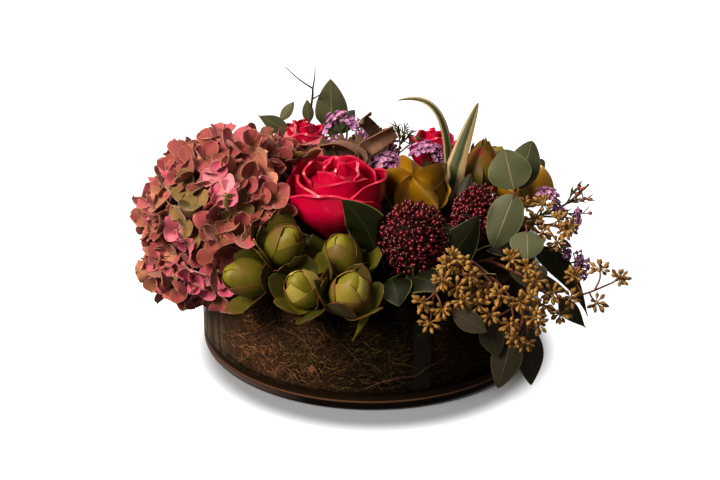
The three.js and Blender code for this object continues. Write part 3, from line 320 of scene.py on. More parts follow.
def tubes(lot, paths, radii, sides=6, paint=0, **values):
    """Closed tubes along paths (count, steps, 3): circles square to the path, one a step."""
    paths = np.asarray(paths, float)
    if paths.ndim == 2:
        paths = paths[None]
    radii = np.broadcast_to(radii, paths.shape[:2])[..., None, None]
    ahead = unit(np.gradient(paths, axis=1))
    whole = unit(paths[:, -1] - paths[:, 0])
    level = np.where(np.abs(whole[:, 2:]) < 0.8, vec(0, 0, 1), vec(1, 0, 0))
    side = unit(np.cross(ahead, level[:, None]))
    normal = np.cross(side, ahead)
    angle = (2 * np.pi * np.arange(sides) / sides)[:, None]
    way = np.cos(angle) * normal[:, :, None] + np.sin(angle) * side[:, :, None]
    around = paths[:, :, None] + radii * way
    values.setdefault("along", np.linspace(0, 1, paths.shape[1])[:, None])
    rings(lot, around, paths[:, 0], paths[:, -1], paint=paint, **values)


def piece(name, lot, materials, replaces=(), sharp=50):
    """One object from what was gathered, riding on the body and standing for its CAD nodes.

    Edges between faces that meet at more than the sharp angle, in degrees, are shaded sharp.
    """
    mesh = bpy.data.meshes.new(name)
    points = np.concatenate(lot.points) * METRES
    quads = np.concatenate([np.zeros((0, 4), int), *lot.faces[4]])
    triangles = np.concatenate([np.zeros((0, 3), int), *lot.faces[3]])
    corners = np.append(quads, triangles)
    starts = np.append(np.arange(len(quads)) * 4, quads.size + np.arange(len(triangles)) * 3)
    mesh.vertices.add(len(points))
    mesh.vertices.foreach_set("co", points.ravel())
    mesh.loops.add(len(corners))
    mesh.loops.foreach_set("vertex_index", corners.astype(np.int32))
    mesh.polygons.add(len(starts))
    mesh.polygons.foreach_set("loop_start", starts.astype(np.int32))
    paints = [np.concatenate(lot.paints[sides]) for sides in (4, 3) if lot.paints[sides]]
    mesh.polygons.foreach_set("material_index", np.concatenate(paints).astype(np.int32))
    mesh.polygons.foreach_set("use_smooth", np.ones(len(starts), bool))
    mesh.update(calc_edges=True)
    mesh.set_sharp_from_angle(angle=math.radians(sharp))
    for value in VALUES:
        held = mesh.attributes.new(value, "FLOAT", "POINT")
        held.data.foreach_set("value", np.concatenate(lot.values[value]).astype(np.float32))
    for material in materials:
        mesh.materials.append(material)
    made = bpy.data.objects.new(name, mesh)
    bpy.context.scene.collection.objects.link(made)
    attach(made, "root")
    if replaces:
        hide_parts(*replaces)


# Materials

def colour(code):
    """A hex sRGB colour as linear red, green, blue and alpha."""
    parts = [int(code[i:i + 2], 16) / 255 for i in (1, 3, 5)]
    linear = [((p + 0.055) / 1.055) ** 2.4 if p > 0.04045 else p / 12.92 for p in parts]
    return (*linear, 1.0)


def surface(name, **settings):
    """A material with its shader, whose settings are named as on the shader with _ for a space."""
    material = bpy.data.materials.new(name)
    material.use_nodes = True
    tree = material.node_tree
    shader = tree.nodes["Principled BSDF"]
    for key, value in settings.items():
        shader.inputs[key.replace("_", " ")].default_value = value
    return material, tree, shader.inputs


def wire(tree, shader, **outputs):
    """Links outputs to the shader's inputs, which are named as on the shader with _ for a space."""
    for key, output in outputs.items():
        tree.links.new(output, shader[key.replace("_", " ")])


def add(tree, kind, inputs=None, stops=None, out=0, **settings):
    """Adds a node with its settings, colour stops and inputs, and gives back its output to link."""
    node = tree.nodes.new("ShaderNode" + kind)
    for key, value in settings.items():
        setattr(node, key, value)
    if stops:
        elements = node.color_ramp.elements
        elements.remove(elements[1])
        elements[0].position = stops[0][0]
        elements[0].color = colour(stops[0][1])
        for position, code in stops[1:]:
            elements.new(position).color = colour(code)
    for key, value in (inputs or {}).items():
        if isinstance(value, bpy.types.NodeSocket):
            tree.links.new(value, node.inputs[key])
        else:
            node.inputs[key].default_value = value
    return node.outputs[out]


GRAIN = 1000.0  # noise scale whose lumps are about 1 mm across, in metres


def sepal_finish():
    """Drying hydrangea sepal: thin and matt, fine veins, a pale edge, a greener middle, painted
    shade.
    """
    material, tree, shader = surface("hydrangea sepal", Roughness=0.62, Specular_IOR_Level=0.3,
                                     Sheen_Weight=0.25, Sheen_Roughness=0.5)
    tone = add(tree, "Attribute", attribute_name="tone", out="Fac")
    place = add(tree, "TexCoord", out="Object")
    cloudy = add(tree, "TexNoise", {"Vector": place, "Scale": GRAIN / 9, "Detail": 3.0})
    moved = add(tree, "Math", {0: cloudy, 1: 0.16, 2: -0.08}, operation="MULTIPLY_ADD")
    toned = add(tree, "Math", {0: tone, 1: moved}, operation="ADD", use_clamp=True)
    petals = add(tree, "ValToRGB", {"Fac": toned}, stops=[
        (0.0, "#4a3c14"),
        (0.08, "#6a5924"),
        (0.16, "#94744a"),
        (0.25, "#c68272"),
        (0.33, "#7a342e"),
        (0.45, "#8a3a3a"),
        (0.57, "#9a434a"),
        (0.69, "#ac4e5e"),
        (0.80, "#bc5f76"),
        (0.91, "#c84a7e"),
        (1.0, "#de8aa4"),
    ])
    along = add(tree, "Attribute", attribute_name="along", out="Fac")
    middle = add(tree, "MapRange",
                 {"Value": along, "From Min": 0.0, "From Max": 0.4, "To Min": 0.55, "To Max": 0.0})
    greened = add(tree, "Mix", {0: middle, 6: petals, 7: colour("#66562c")}, data_type="RGBA",
                  out=2)
    across = add(tree, "Attribute", attribute_name="across", out="Fac")
    spokes = add(tree, "Math", {0: across, 1: 26.0}, operation="MULTIPLY")
    veins = add(tree, "Math", {0: spokes}, operation="SINE")
    shade = add(tree, "Attribute", attribute_name="shade", out="Fac")
    vein_shade = add(tree, "Math", {0: veins, 1: 0.04}, operation="MULTIPLY")
    # Painted shade, deepest inside the head, darkens the sepals; the veins add faint dark lines of
    # their own.
    dark = add(tree, "Math", {0: shade, 1: vein_shade}, operation="ADD", use_clamp=True)
    shaded = add(tree, "Mix", {0: dark, 6: greened, 7: colour("#2a1210")}, data_type="RGBA", out=2)
    width = add(tree, "Math", {0: across}, operation="ABSOLUTE")
    outer = add(tree, "Math", {0: width, 1: along}, operation="MAXIMUM")
    paled = add(tree, "MapRange",
                {"Value": outer, "From Min": 0.86, "From Max": 1.0, "To Max": 0.35})
    shaded = add(tree, "Mix", {0: paled, 6: shaded, 7: colour("#d9a48e")}, data_type="RGBA", out=2)
    bump = add(tree, "Bump", {"Height": veins, "Strength": 0.12, "Distance": 0.0003})
    wire(tree, shader, Base_Color=shaded, Normal=bump)
    return material


def wax_finish(name, deep, bright, edge):
    """A rose petal dipped in wax: smooth glossy coat that pools, a thicker rim painted paler as
    highlight.
    """
    material, tree, shader = surface(name, Roughness=0.3, Specular_IOR_Level=0.35, Coat_Weight=0.55,
                                     Coat_Roughness=0.06)
    place = add(tree, "TexCoord", out="Object")
    cloudy = add(tree, "TexNoise", {"Vector": place, "Scale": GRAIN / 22, "Detail": 2.0})
    tone = add(tree, "Attribute", attribute_name="tone", out="Fac")
    amount = add(tree, "Math", {0: cloudy, 1: 0.5, 2: tone}, operation="MULTIPLY_ADD")
    body = add(tree, "ValToRGB", {"Fac": amount}, stops=[(0.15, deep), (0.75, bright)])
    along = add(tree, "Attribute", attribute_name="along", out="Fac")
    # Painted highlight: the rim, and the olive heart's crests, are mixed towards the edge colour.
    rim = add(tree, "MapRange", {"Value": along, "From Min": 0.95, "From Max": 1.0, "To Max": 0.22})
    edged = add(tree, "Mix", {0: rim, 6: body, 7: colour(edge)}, data_type="RGBA", out=2)
    # Painted shade: the shade value darkens the rose's closed heart.
    shade = add(tree, "Attribute", attribute_name="shade", out="Fac")
    shaded = add(tree, "Mix", {0: shade, 6: edged, 7: colour("#1a0505")}, data_type="RGBA", out=2)
    pooled = add(tree, "TexNoise", {"Vector": place, "Scale": GRAIN / 7, "Detail": 1.0})
    bump = add(tree, "Bump", {"Height": pooled, "Strength": 0.22, "Distance": 0.0012})
    wire(tree, shader, Base_Color=shaded, Normal=bump)
    return material


def bract_finish(name, flush_colour):
    """Leucadendron bract: satin and leathery, olive to yellow-green, flushed red to its edge."""
    material, tree, shader = surface(name, Roughness=0.5, Specular_IOR_Level=0.3)
    place = add(tree, "TexCoord", out="Object")
    cloudy = add(tree, "TexNoise", {"Vector": place, "Scale": GRAIN / 8, "Detail": 4.0})
    tone = add(tree, "Attribute", attribute_name="tone", out="Fac")
    toned = add(tree, "Math", {0: cloudy, 1: 0.45, 2: tone}, operation="MULTIPLY_ADD")
    green = add(tree, "ValToRGB", {"Fac": toned}, stops=[
        (0.0, "#2c340c"),
        (0.3, "#4c500e"),
        (0.6, "#6c6a12"),
        (0.85, "#8c8a2e"),
        (1.0, "#b4b058"),
    ])
    along = add(tree, "Attribute", attribute_name="along", out="Fac")
    # The shade value holds the bract's own red flush here.
    flush = add(tree, "Attribute", attribute_name="shade", out="Fac")
    climb = add(tree, "MapRange", {"Value": along, "From Min": 0.45, "From Max": 1.0})
    blotch = add(tree, "MapRange", {"Value": cloudy, "From Min": 0.3, "From Max": 0.6})
    amount = add(tree, "Math", {0: climb, 1: blotch}, operation="MULTIPLY")
    red = add(tree, "Math", {0: amount, 1: flush}, operation="MULTIPLY", use_clamp=True)
    flushed = add(tree, "Mix", {0: red, 6: green, 7: colour(flush_colour)}, data_type="RGBA", out=2)
    across = add(tree, "Attribute", attribute_name="across", out="Fac")
    out = add(tree, "Math", {0: across}, operation="ABSOLUTE")
    far = add(tree, "Math", {0: out, 1: along}, operation="MAXIMUM")
    edge = add(tree, "MapRange", {"Value": far, "From Min": 0.965, "From Max": 1.0, "To Max": 0.7})
    edged = add(tree, "Mix", {0: edge, 6: flushed, 7: colour("#6e3527")}, data_type="RGBA", out=2)
    fine = add(tree, "TexNoise", {"Vector": place, "Scale": GRAIN / 1.2, "Detail": 2.0})
    bump = add(tree, "Bump", {"Height": fine, "Strength": 0.1, "Distance": 0.0004})
    wire(tree, shader, Base_Color=edged, Normal=bump)
    return material


def leaf_finish(name, dark, light, rib, edge, roughness, rib_width, veins, shine=0.4):
    """A leaf with a midrib, faint side veins that slant forward and a lighter edge."""
    material, tree, shader = surface(name, Roughness=roughness, Specular_IOR_Level=shine)
    place = add(tree, "TexCoord", out="Object")
    cloudy = add(tree, "TexNoise", {"Vector": place, "Scale": GRAIN / 11, "Detail": 4.0})
    tone = add(tree, "Attribute", attribute_name="tone", out="Fac")
    toned = add(tree, "Math", {0: cloudy, 1: 0.55, 2: tone}, operation="MULTIPLY_ADD")
    body = add(tree, "ValToRGB", {"Fac": toned}, stops=[(0.1, dark), (0.85, light)])
    side = add(tree, "Attribute", attribute_name="across", out="Fac")
    across = add(tree, "Math", {0: side}, operation="ABSOLUTE")
    along = add(tree, "Attribute", attribute_name="along", out="Fac")
    slant = add(tree, "Math", {0: across, 1: -0.35, 2: along}, operation="MULTIPLY_ADD")
    pitch = add(tree, "Math", {0: slant, 1: 62.0}, operation="MULTIPLY")
    wave = add(tree, "Math", {0: pitch}, operation="SINE")
    vein = add(tree, "MapRange", {"Value": wave, "From Min": 0.7, "From Max": 1.0, "To Max": veins})
    veined = add(tree, "Mix", {0: vein, 6: body, 7: colour(rib)}, data_type="RGBA", out=2)
    ribbed = add(tree, "MapRange",
                 {"Value": across, "From Min": rib_width, "From Max": rib_width * 0.4,
                  "To Max": 0.8})
    with_rib = add(tree, "Mix", {0: ribbed, 6: veined, 7: colour(rib)}, data_type="RGBA", out=2)
    rim = add(tree, "MapRange",
              {"Value": across, "From Min": 0.93, "From Max": 0.99, "To Max": 0.75})
    edged = add(tree, "Mix", {0: rim, 6: with_rib, 7: colour(edge)}, data_type="RGBA", out=2)
    bump = add(tree, "Bump", {"Height": vein, "Strength": 0.15, "Distance": 0.0003})
    wire(tree, shader, Base_Color=edged, Normal=bump)
    return material


def simple_finish(name, low, high, roughness, lump, strength=0.2, shaded="#000000"):
    """Two colours in lumps of a size in millimetres, shifted by tone and darkened by painted shade.
    """
    material, tree, shader = surface(name, Roughness=roughness)
    place = add(tree, "TexCoord", out="Object")
    cloudy = add(tree, "TexNoise", {"Vector": place, "Scale": GRAIN / lump, "Detail": 3.0})
    tone = add(tree, "Attribute", attribute_name="tone", out="Fac")
    toned = add(tree, "Math", {0: cloudy, 1: 0.6, 2: tone}, operation="MULTIPLY_ADD")
    body = add(tree, "ValToRGB", {"Fac": toned}, stops=[(0.15, low), (0.85, high)])
    shade = add(tree, "Attribute", attribute_name="shade", out="Fac")
    dark = add(tree, "Mix", {0: shade, 6: body, 7: colour(shaded)}, data_type="RGBA", out=2)
    bump = add(tree, "Bump", {"Height": cloudy, "Strength": strength, "Distance": 0.0006})
    wire(tree, shader, Base_Color=dark, Normal=bump)
    return material


def striped_finish():
    """Variegated strap leaf: a green band along its middle, then cream, then a pinkish edge."""
    material, tree, shader = surface("striped leaf", Roughness=0.45)
    across = add(tree, "Attribute", attribute_name="across", out="Fac")
    place = add(tree, "TexCoord", out="Object")
    drift = add(tree, "TexNoise", {"Vector": place, "Scale": GRAIN / 16, "Detail": 2.0})
    moved = add(tree, "Math", {0: drift, 1: 0.25, 2: -0.12}, operation="MULTIPLY_ADD")
    drifted = add(tree, "Math", {0: across, 1: moved}, operation="ADD")
    share = add(tree, "MapRange", {"Value": drifted, "From Min": -1.0, "From Max": 1.0})
    bands = add(tree, "ValToRGB", {"Fac": share}, stops=[
        (0.0, "#8a5a50"),
        (0.05, "#a8987a"),
        (0.14, "#b8aa88"),
        (0.20, "#5a6236"),
        (0.27, "#34401f"),
        (0.50, "#2a371a"),
        (0.64, "#46532c"),
        (0.71, "#b0a27e"),
        (0.93, "#a8966f"),
        (1.0, "#94604f"),
    ])
    wire(tree, shader, Base_Color=bands)
    return material


def glass_finish():
    """Clear soda glass, moulded and polished. Little shows of the wall that is seen straight on.

    Where it is seen edge on it shows grey vertical streaks of painted reflection, which darken to
    the right as painted shade. The thick base is painted nearly black, and grey at the left, with a
    brown
    line along its top: painted refraction and reflection. The ground rim is faintly grey.
    """
    material, tree, shader = surface("clear glass", Roughness=0.12, IOR=1.5,
                                     Specular_IOR_Level=0.08)
    place = add(tree, "TexCoord", out="Object")
    tall = add(tree, "Mapping", {"Vector": place, "Scale": (1.0, 1.0, 0.06)})
    streaks = add(tree, "TexNoise", {"Vector": tall, "Scale": GRAIN / 7, "Detail": 3.0})
    grey = add(tree, "ValToRGB", {"Fac": streaks}, stops=[
        (0.3, "#241c16"),
        (0.5, "#52473c"),
        (0.7, "#94856f"),
    ])
    side = add(tree, "SeparateXYZ", {0: place}, out="X")
    # Painted shade: the streaks darken towards the right, away from the key light.
    right = add(tree, "MapRange", {"Value": side, "From Min": -0.09, "From Max": 0.0})
    toned = add(tree, "Mix", {0: right, 6: grey, 7: colour("#0d0b0a")}, data_type="RGBA", out=2)
    height = add(tree, "SeparateXYZ", {0: place}, out="Z")
    banded = add(tree, "MapRange", {"Value": height, "From Min": 0.0, "From Max": 0.02})
    # Painted refraction: the base near black, with a brown line along its top.
    bands = add(tree, "ValToRGB", {"Fac": banded}, stops=[
        (0.0, "#0b0908"),
        (0.315, "#0d0a08"),
        (0.335, "#5a4030"),
        (0.385, "#60463a"),
        (0.405, "#20160f"),
        (0.50, "#1b120b"),
        (0.62, "#150d07"),
    ])
    # Painted reflection: the lowest part of the base is grey at the far left.
    far_left = add(tree, "MapRange",
                   {"Value": side, "From Min": -0.045, "From Max": -0.105, "To Max": 0.75})
    lowest = add(tree, "MapRange", {"Value": height, "From Min": 0.0066, "From Max": 0.0054})
    grey_share = add(tree, "Math", {0: far_left, 1: lowest}, operation="MULTIPLY")
    lighter = add(tree, "Mix", {0: grey_share, 6: bands, 7: colour("#625858")}, data_type="RGBA",
                  out=2)
    low = add(tree, "MapRange", {"Value": height, "From Min": 0.0134, "From Max": 0.0124})
    based = add(tree, "Mix", {0: low, 6: toned, 7: lighter}, data_type="RGBA", out=2)
    edge_on = add(tree, "LayerWeight", {"Blend": 0.5}, out="Facing")
    grazing = add(tree, "MapRange",
                  {"Value": edge_on, "From Min": 0.45, "From Max": 0.75, "To Min": 0.04,
                   "To Max": 0.7})
    foot = add(tree, "MapRange",
               {"Value": height, "From Min": 0.0132, "From Max": 0.0122, "To Max": 0.97})
    rim = add(tree, "MapRange",
              {"Value": height, "From Min": 0.0728, "From Max": 0.0745, "To Max": 0.25})
    most = add(tree, "Math", {0: grazing, 1: foot}, operation="MAXIMUM")
    alpha = add(tree, "Math", {0: most, 1: rim}, operation="MAXIMUM")
    wire(tree, shader, Base_Color=based, Alpha=alpha)
    return material


def moss_finish():
    """Pressed moss: brown at the left, olive in front, with painted shade: darker brown to the
    right.
    """
    material, tree, shader = surface("dry moss", Roughness=0.95, Specular_IOR_Level=0.15)
    place = add(tree, "TexCoord", out="Object")
    fine = add(tree, "TexNoise", {"Vector": place, "Scale": GRAIN / 2.2, "Detail": 5.0})
    patches = add(tree, "TexNoise", {"Vector": place, "Scale": GRAIN / 26, "Detail": 3.0})
    tone = add(tree, "Attribute", attribute_name="tone", out="Fac")
    toned = add(tree, "Math", {0: fine, 1: 0.7, 2: tone}, operation="MULTIPLY_ADD")
    brown = add(tree, "ValToRGB", {"Fac": toned}, stops=[
        (0.15, "#24150d"),
        (0.42, "#634029"),
        (0.7, "#8e6345"),
        (1.0, "#bb9068"),
    ])
    olive = add(tree, "ValToRGB", {"Fac": toned}, stops=[
        (0.15, "#140e07"),
        (0.45, "#3a2c16"),
        (0.72, "#585426"),
        (1.0, "#84863e"),
    ])
    sides = add(tree, "SeparateXYZ", {0: place}, out="X")
    left = add(tree, "MapRange", {"Value": sides, "From Min": -0.02, "From Max": -0.095})
    patched = add(tree, "Math", {0: patches, 1: 1.4, 2: -0.62}, operation="MULTIPLY_ADD")
    share = add(tree, "Math", {0: left, 1: patched}, operation="ADD", use_clamp=True)
    coloured = add(tree, "Mix", {0: share, 6: olive, 7: brown}, data_type="RGBA", out=2)
    # Painted shade: darker brown towards the right, away from the key light.
    right = add(tree, "MapRange",
                {"Value": sides, "From Min": 0.0, "From Max": 0.06, "To Max": 0.45})
    deep = add(tree, "Mix", {0: right, 6: coloured, 7: colour("#3c2414")}, data_type="RGBA", out=2)
    # Painted shade: the shade value darkens the moss behind its fibres and under the blooms.
    shade = add(tree, "Attribute", attribute_name="shade", out="Fac")
    shaded = add(tree, "Mix", {0: shade, 6: deep, 7: colour("#0c0a06")}, data_type="RGBA", out=2)
    bump = add(tree, "Bump", {"Height": fine, "Strength": 0.8, "Distance": 0.002})
    wire(tree, shader, Base_Color=shaded, Normal=bump)
    return material


SEPAL = sepal_finish()
STRIPED = striped_finish()
MOSS = moss_finish()
GLASS = glass_finish()
# The edge colours are painted highlights on the roses' rims and crests.
RED_WAX = wax_finish("red wax", deep="#aa002e", bright="#d60048", edge="#ec5078")
OLIVE_WAX = wax_finish("olive wax", deep="#6c4e09", bright="#c09016", edge="#dcc070")
BRACT = bract_finish("leucadendron bract", flush_colour="#6c3a34")
RED_BRACT = bract_finish("red leucadendron bract", flush_colour="#9c3626")
DARK_LEAF = leaf_finish("skimmia leaf", dark="#0b1005", light="#1b220a", rib="#2c3814",
                        edge="#7c8448", roughness=0.5, rib_width=0.035, veins=0.1, shine=0.2)
GREY_LEAF = leaf_finish("eucalyptus leaf", dark="#434d36", light="#626d50", rib="#a0907a",
                        edge="#7d8768", roughness=0.55, rib_width=0.035, veins=0.05)
# Browner than the other eucalyptus leaves, and painted darker as shade, for the hanging leaves.
SHADED_BROWN_LEAF = leaf_finish("hanging eucalyptus leaf", dark="#201e14", light="#343225", rib="#4c4a36",
                         edge="#5a583f", roughness=0.5, rib_width=0.04, veins=0.1)

# Two colours, roughness, size of the lumps in millimetres and, in some, strength of the bump
BERRY = simple_finish("skimmia bud", "#36060f", "#7a1428", 0.25, 3.0, 0.05)
BUD_STALK = simple_finish("bud stalk", "#3a1016", "#6b2a2c", 0.6, 2.0)
BUD_SHADE = simple_finish("shade between buds", "#0e0405", "#1e080c", 0.9, 3.0)
WAXFLOWER_BUD = simple_finish("waxflower bud", "#7a2a2a", "#c06a58", 0.45, 2.0)
POD = simple_finish("eucalyptus pod", "#7c5a28", "#b08a44", 0.55, 3.0, 0.25)
RED_TWIG = simple_finish("red-brown twig", "#5a2c20", "#8c5038", 0.6, 4.0)
GREEN_STEM = simple_finish("green stem", "#333a18", "#59602c", 0.6, 4.0)
WOODY_STEM = simple_finish("woody stem", "#3a2a20", "#6e5444", 0.7, 5.0)
LILAC = simple_finish("statice cup", "#9a64a2", "#d2a0d0", 0.75, 2.5, 0.3, shaded="#3a2440")
DRIED = simple_finish("dried bark", "#62463a", "#a8846f", 0.85, 4.0, 0.5)
FOAM = simple_finish("floral foam", "#141c12", "#26301f", 0.95, 1.5, 0.6)
TWIG_BIT = simple_finish("twig in the moss", "#4a2a20", "#80523e", 0.8, 3.0)
DARK_STRIP = simple_finish("dark green strip", "#0c140a", "#182612", 0.8, 6.0)


# The bowl, the moss and the foam

def arc(centre, radius, start, end, steps=6):
    """Profile points on a circle's arc: a centre, a radius and two angles in degrees."""
    angle = np.radians(np.linspace(start, end, steps))
    return vec(*centre) + radius * np.stack([np.cos(angle), np.sin(angle)], axis=-1)


def make_bowl():
    """The glass, turned about +Z: foot, rounded heel, wall, round rim, inside wall and floor."""
    inside = BOWL_RADIUS - GLASS_WALL
    rim = GLASS_WALL / 2 - 0.05
    halfway = BOWL_RADIUS * 0.48
    profile = np.vstack([
        [[0, 0], [halfway, 0], [BOWL_RADIUS - HEEL - 0.5, 0]],
        arc((BOWL_RADIUS - HEEL, HEEL), HEEL, -80, 0, 8),
        [[BOWL_RADIUS, z] for z in np.linspace(12, BOWL_HEIGHT - rim, 8)],
        arc((BOWL_RADIUS - GLASS_WALL / 2, BOWL_HEIGHT - rim), rim, 10, 170, 7),
        [[inside, z] for z in np.linspace(BOWL_HEIGHT - rim, GLASS_BASE + FILLET, 8)],
        arc((inside - FILLET, GLASS_BASE + FILLET), FILLET, -10, -80, 5),
        [[inside - FILLET - 2, GLASS_BASE], [halfway, GLASS_BASE], [0, GLASS_BASE]],
    ])
    lot = Gathered()
    turned(lot, profile, 144, stand(vec(0, 0, 1)), [vec(0, 0, 0)])
    piece("glass_bowl", lot, [GLASS], ["bowl"], sharp=30)


def lumps(angle, height, seed, strength):
    """A lumpy pattern that closes round: sines of angle and height, with drawn phases."""
    draw = draws(seed)
    total = 0
    for waves in (5, 9, 16, 27, 41):
        turn, rise = draw.uniform(0, 6.28, 2)
        across = np.sin(waves * angle + turn + 0.03 * waves * height)
        total = total + across * np.cos(0.02 * waves * height + rise)
    return strength * total / 3


GREEN_WINDOW = (29.0, 41.0)  # from and to along +X, where a dark green strip shows in the moss
MOSS_FIBRES = 9000
COVER_FIBRES = 3000
MOSS_TWIGS = [  # the start of each twig in front, as x and z, and its run along both
    (-62, 52, 17, -6), (-24, 55, -9, 14), (-22, 50, 14, -16), (8, 20, 22, 2),
    (-55, 26, -10, -9), (14, 34, 18, -6), (30, 22, 16, 8), (-5, 14, 20, 7),
]
SCRAP = [(-44.0, 26), (-41, 30), (-38, 24)]  # x and z of the upper edge of a petal behind the glass


def front_at(radius, x):
    """The y of a circle's front at x."""
    return -np.sqrt(radius**2 - x**2)


def add_window(lot, radius):
    """The strip where the moss is parted: a panel behind the glass, as high as the moss."""
    x = np.linspace(*GREEN_WINDOW, 7)[None, None]
    z = np.linspace(GLASS_BASE + 1.2, MOSS_TOP, 12)[None, :, None]
    x = x + 0.3 * np.sin(0.21 * z)
    sheets(lot, np.stack([x, front_at(radius - 3.5, x), z + 0 * x], axis=-1), 0.6, paint=1)


def fibres(lot, start, way, length, radius, seed, tone, bend=0.5):
    """Curved three-sided hairs: each leaves its start along a way and bends to a drawn side."""
    side = unit(np.cross(way, draws(seed).normal(0, 1, (len(start), 3))))
    share = np.linspace(0, 1, 3)[None, :, None]
    size = length[:, None, None]
    path = start[:, None] + way[:, None] * size * share + side[:, None] * size * bend * share**2
    taper = np.array([1.0, 0.8, 0.35]) * radius
    tubes(lot, path, taper[None], sides=3, tone=tone[:, None, None])


def moss_wall(angle, height):
    """The lumpy wall of the moss, as distances from the axis."""
    return MOSS_RADIUS + lumps(angle, height, 4, 1.6)


def make_moss():
    """The lining: a lumpy wall, closed over its top, under a felt of fibres."""
    lot = Gathered()
    angle = np.linspace(0, 2 * np.pi, 180, endpoint=False)[None]
    height = np.linspace(GLASS_BASE + 0.6, MOSS_TOP, 22)
    height = np.append(height, [MOSS_TOP + 2, MOSS_TOP + 3])[:, None]
    radius = moss_wall(angle, height) + np.where(height > MOSS_TOP, -(height - MOSS_TOP) * 4, 0)
    radius = np.minimum(radius, BOWL_RADIUS - GLASS_WALL - 1.6)
    low = vec(0, 0, GLASS_BASE + 0.6)[None]
    high = vec(0, 0, MOSS_TOP + 3)[None]
    # The wall is darkened by painted shade behind its fibres.
    rings(lot, round_axis(radius, angle, height)[None], low, high, tone=-0.12, shade=0.2)
    draw = draws(21)
    count = MOSS_FIBRES
    at = draw.uniform(0, 2 * np.pi, count)
    up = draw.uniform(GLASS_BASE + 3, MOSS_TOP + 3, count)
    out = moss_wall(at, up) + draw.uniform(-0.5, 1.6, count)
    start = round_axis(out, at, up)
    round_way = np.stack([-np.sin(at), np.cos(at), 0 * at], axis=-1)
    slope = draw.uniform(-1, 1, count)[:, None]
    turn = np.where(draw.random(count) < 0.5, 1, -1)[:, None]
    outward = start * vec(1, 1, 0) / np.hypot(start[:, 0], start[:, 1])[:, None]
    way = unit(round_way * turn * 0.8 + vec(0, 0, 1) * slope + outward * 0.12)
    length = draw.uniform(3, 10, count)
    fibres(lot, start, way, length, 0.26, 22, tone=draw.uniform(-0.3, 0.45, count), bend=0.7)
    add_window(lot, MOSS_REACH)
    keep_in(lot, MOSS_REACH, GLASS_BASE + 0.5)
    piece("moss", lot, [MOSS, DARK_STRIP], ["moss_lining"])


def make_moss_twigs():
    """Thin twigs and the edge of a petal, seen through the glass in front of the moss."""
    twigs = Gathered()
    for x, z, dx, dz in MOSS_TWIGS:
        ends = np.array([[x, 0, z], [x + dx / 2, 0, z + dz / 2 + 1.5], [x + dx, 0, z + dz]], float)
        ends[:, 1] = front_at(MOSS_REACH - 1.4, ends[:, 0])
        tubes(twigs, curve(ends, 7), 0.4, sides=5)
    scrap = np.array([[x, front_at(MOSS_REACH - 1.0, x), z] for x, z in SCRAP])
    grid = np.stack([scrap, scrap + vec(2.5, 0, -3.5)], axis=1)[None]
    sheets(twigs, grid, 0.5, tone=0.5)
    piece("twigs_in_moss", twigs, [TWIG_BIT])


def keep_in(lot, radius, floor):
    """Draws points beyond a radius, or below a floor, back onto it."""
    points = np.concatenate(lot.points)
    reach = np.hypot(points[:, 0], points[:, 1])
    points[:, :2] *= np.minimum(1, radius / np.maximum(reach, 1e-6))[:, None]
    points[:, 2] = np.maximum(points[:, 2], floor)
    lot.points = [points]


def make_moss_cover():
    """Moss over the foam: a dome that falls to the rim, under loose fibres."""
    lot = Gathered()
    angle = np.linspace(0, 2 * np.pi, 120, endpoint=False)[None]
    reach = np.array([120, 119, 114, 106, 98, 90, 80, 66, 50, 34, 18, 8.0])[:, None]
    edge = np.where(reach > FOAM_RADIUS, mix(MOSS_TOP + 2, MOSS_TOP + 6, (120 - reach) / 24), 0)
    height = np.maximum(foam_surface(np.minimum(reach, FOAM_RADIUS)) + 2.4, edge)
    height = np.where(reach > 119.5, MOSS_TOP - 2, height) + lumps(angle, reach, 8, 1.0)
    points = round_axis(reach, angle, height)
    low, high = vec(0, 0, MOSS_TOP)[None], vec(0, 0, FOAM_TOP + 2)[None]
    # The cover is darkened by painted shade under the blooms.
    rings(lot, points[None], low, high, tone=-0.3, shade=0.5)
    draw = draws(31)
    count = COVER_FIBRES
    at = draw.uniform(0, 2 * np.pi, count)
    out = 119 * np.sqrt(draw.uniform(0.02, 1, count))
    up = foam_surface(np.minimum(out, FOAM_RADIUS)) + np.where(out > FOAM_RADIUS, 0.5, 2.5)
    start = round_axis(out, at, up)
    way = unit(draw.normal(0, 1, (count, 3)) * vec(1, 1, 0.3) + vec(0, 0, 0.55))
    fibres(lot, start, way, draw.uniform(4, 11, count), 0.38, 32,
           tone=draw.uniform(-0.4, 0.3, count))
    keep_in(lot, MOSS_REACH, GLASS_BASE)
    piece("moss_cover", lot, [MOSS])


# Stems and leaves

def stem_line(path, steps=14):
    """A stem's line: from its depth in the foam, on the focus's side, through a path."""
    first = np.asarray(path[0], float)
    inward = unit(STEM_FOCUS - first)
    start = first + inward * STEM_DEPTH
    return curve([start, *path] if len(path) > 1 else [start, first + inward * 8, first], steps)


def straight_stem(low, depth):
    """A straight stem's points: from a depth below its low end, on the focus's side, to it."""
    return np.array([low + unit(STEM_FOCUS - low) * d for d in np.linspace(depth, 0, 6)])


SHAPES = {  # half widths of a leaf at a share s of its length, as shares of half its width
    "round": lambda s: np.sin(np.pi * s**0.78) ** 0.62,
    "oval": lambda s: np.sin(np.pi * s**0.85) ** 0.8,
    "lance": lambda s: np.sin(np.pi * s**0.7) ** 1.15,
    "strap": lambda s: np.minimum(1, 0.55 + 2 * s) * (1 - s) ** 0.55,
    "leather": lambda s: np.sin(np.pi * s**0.85) ** 0.85,
}


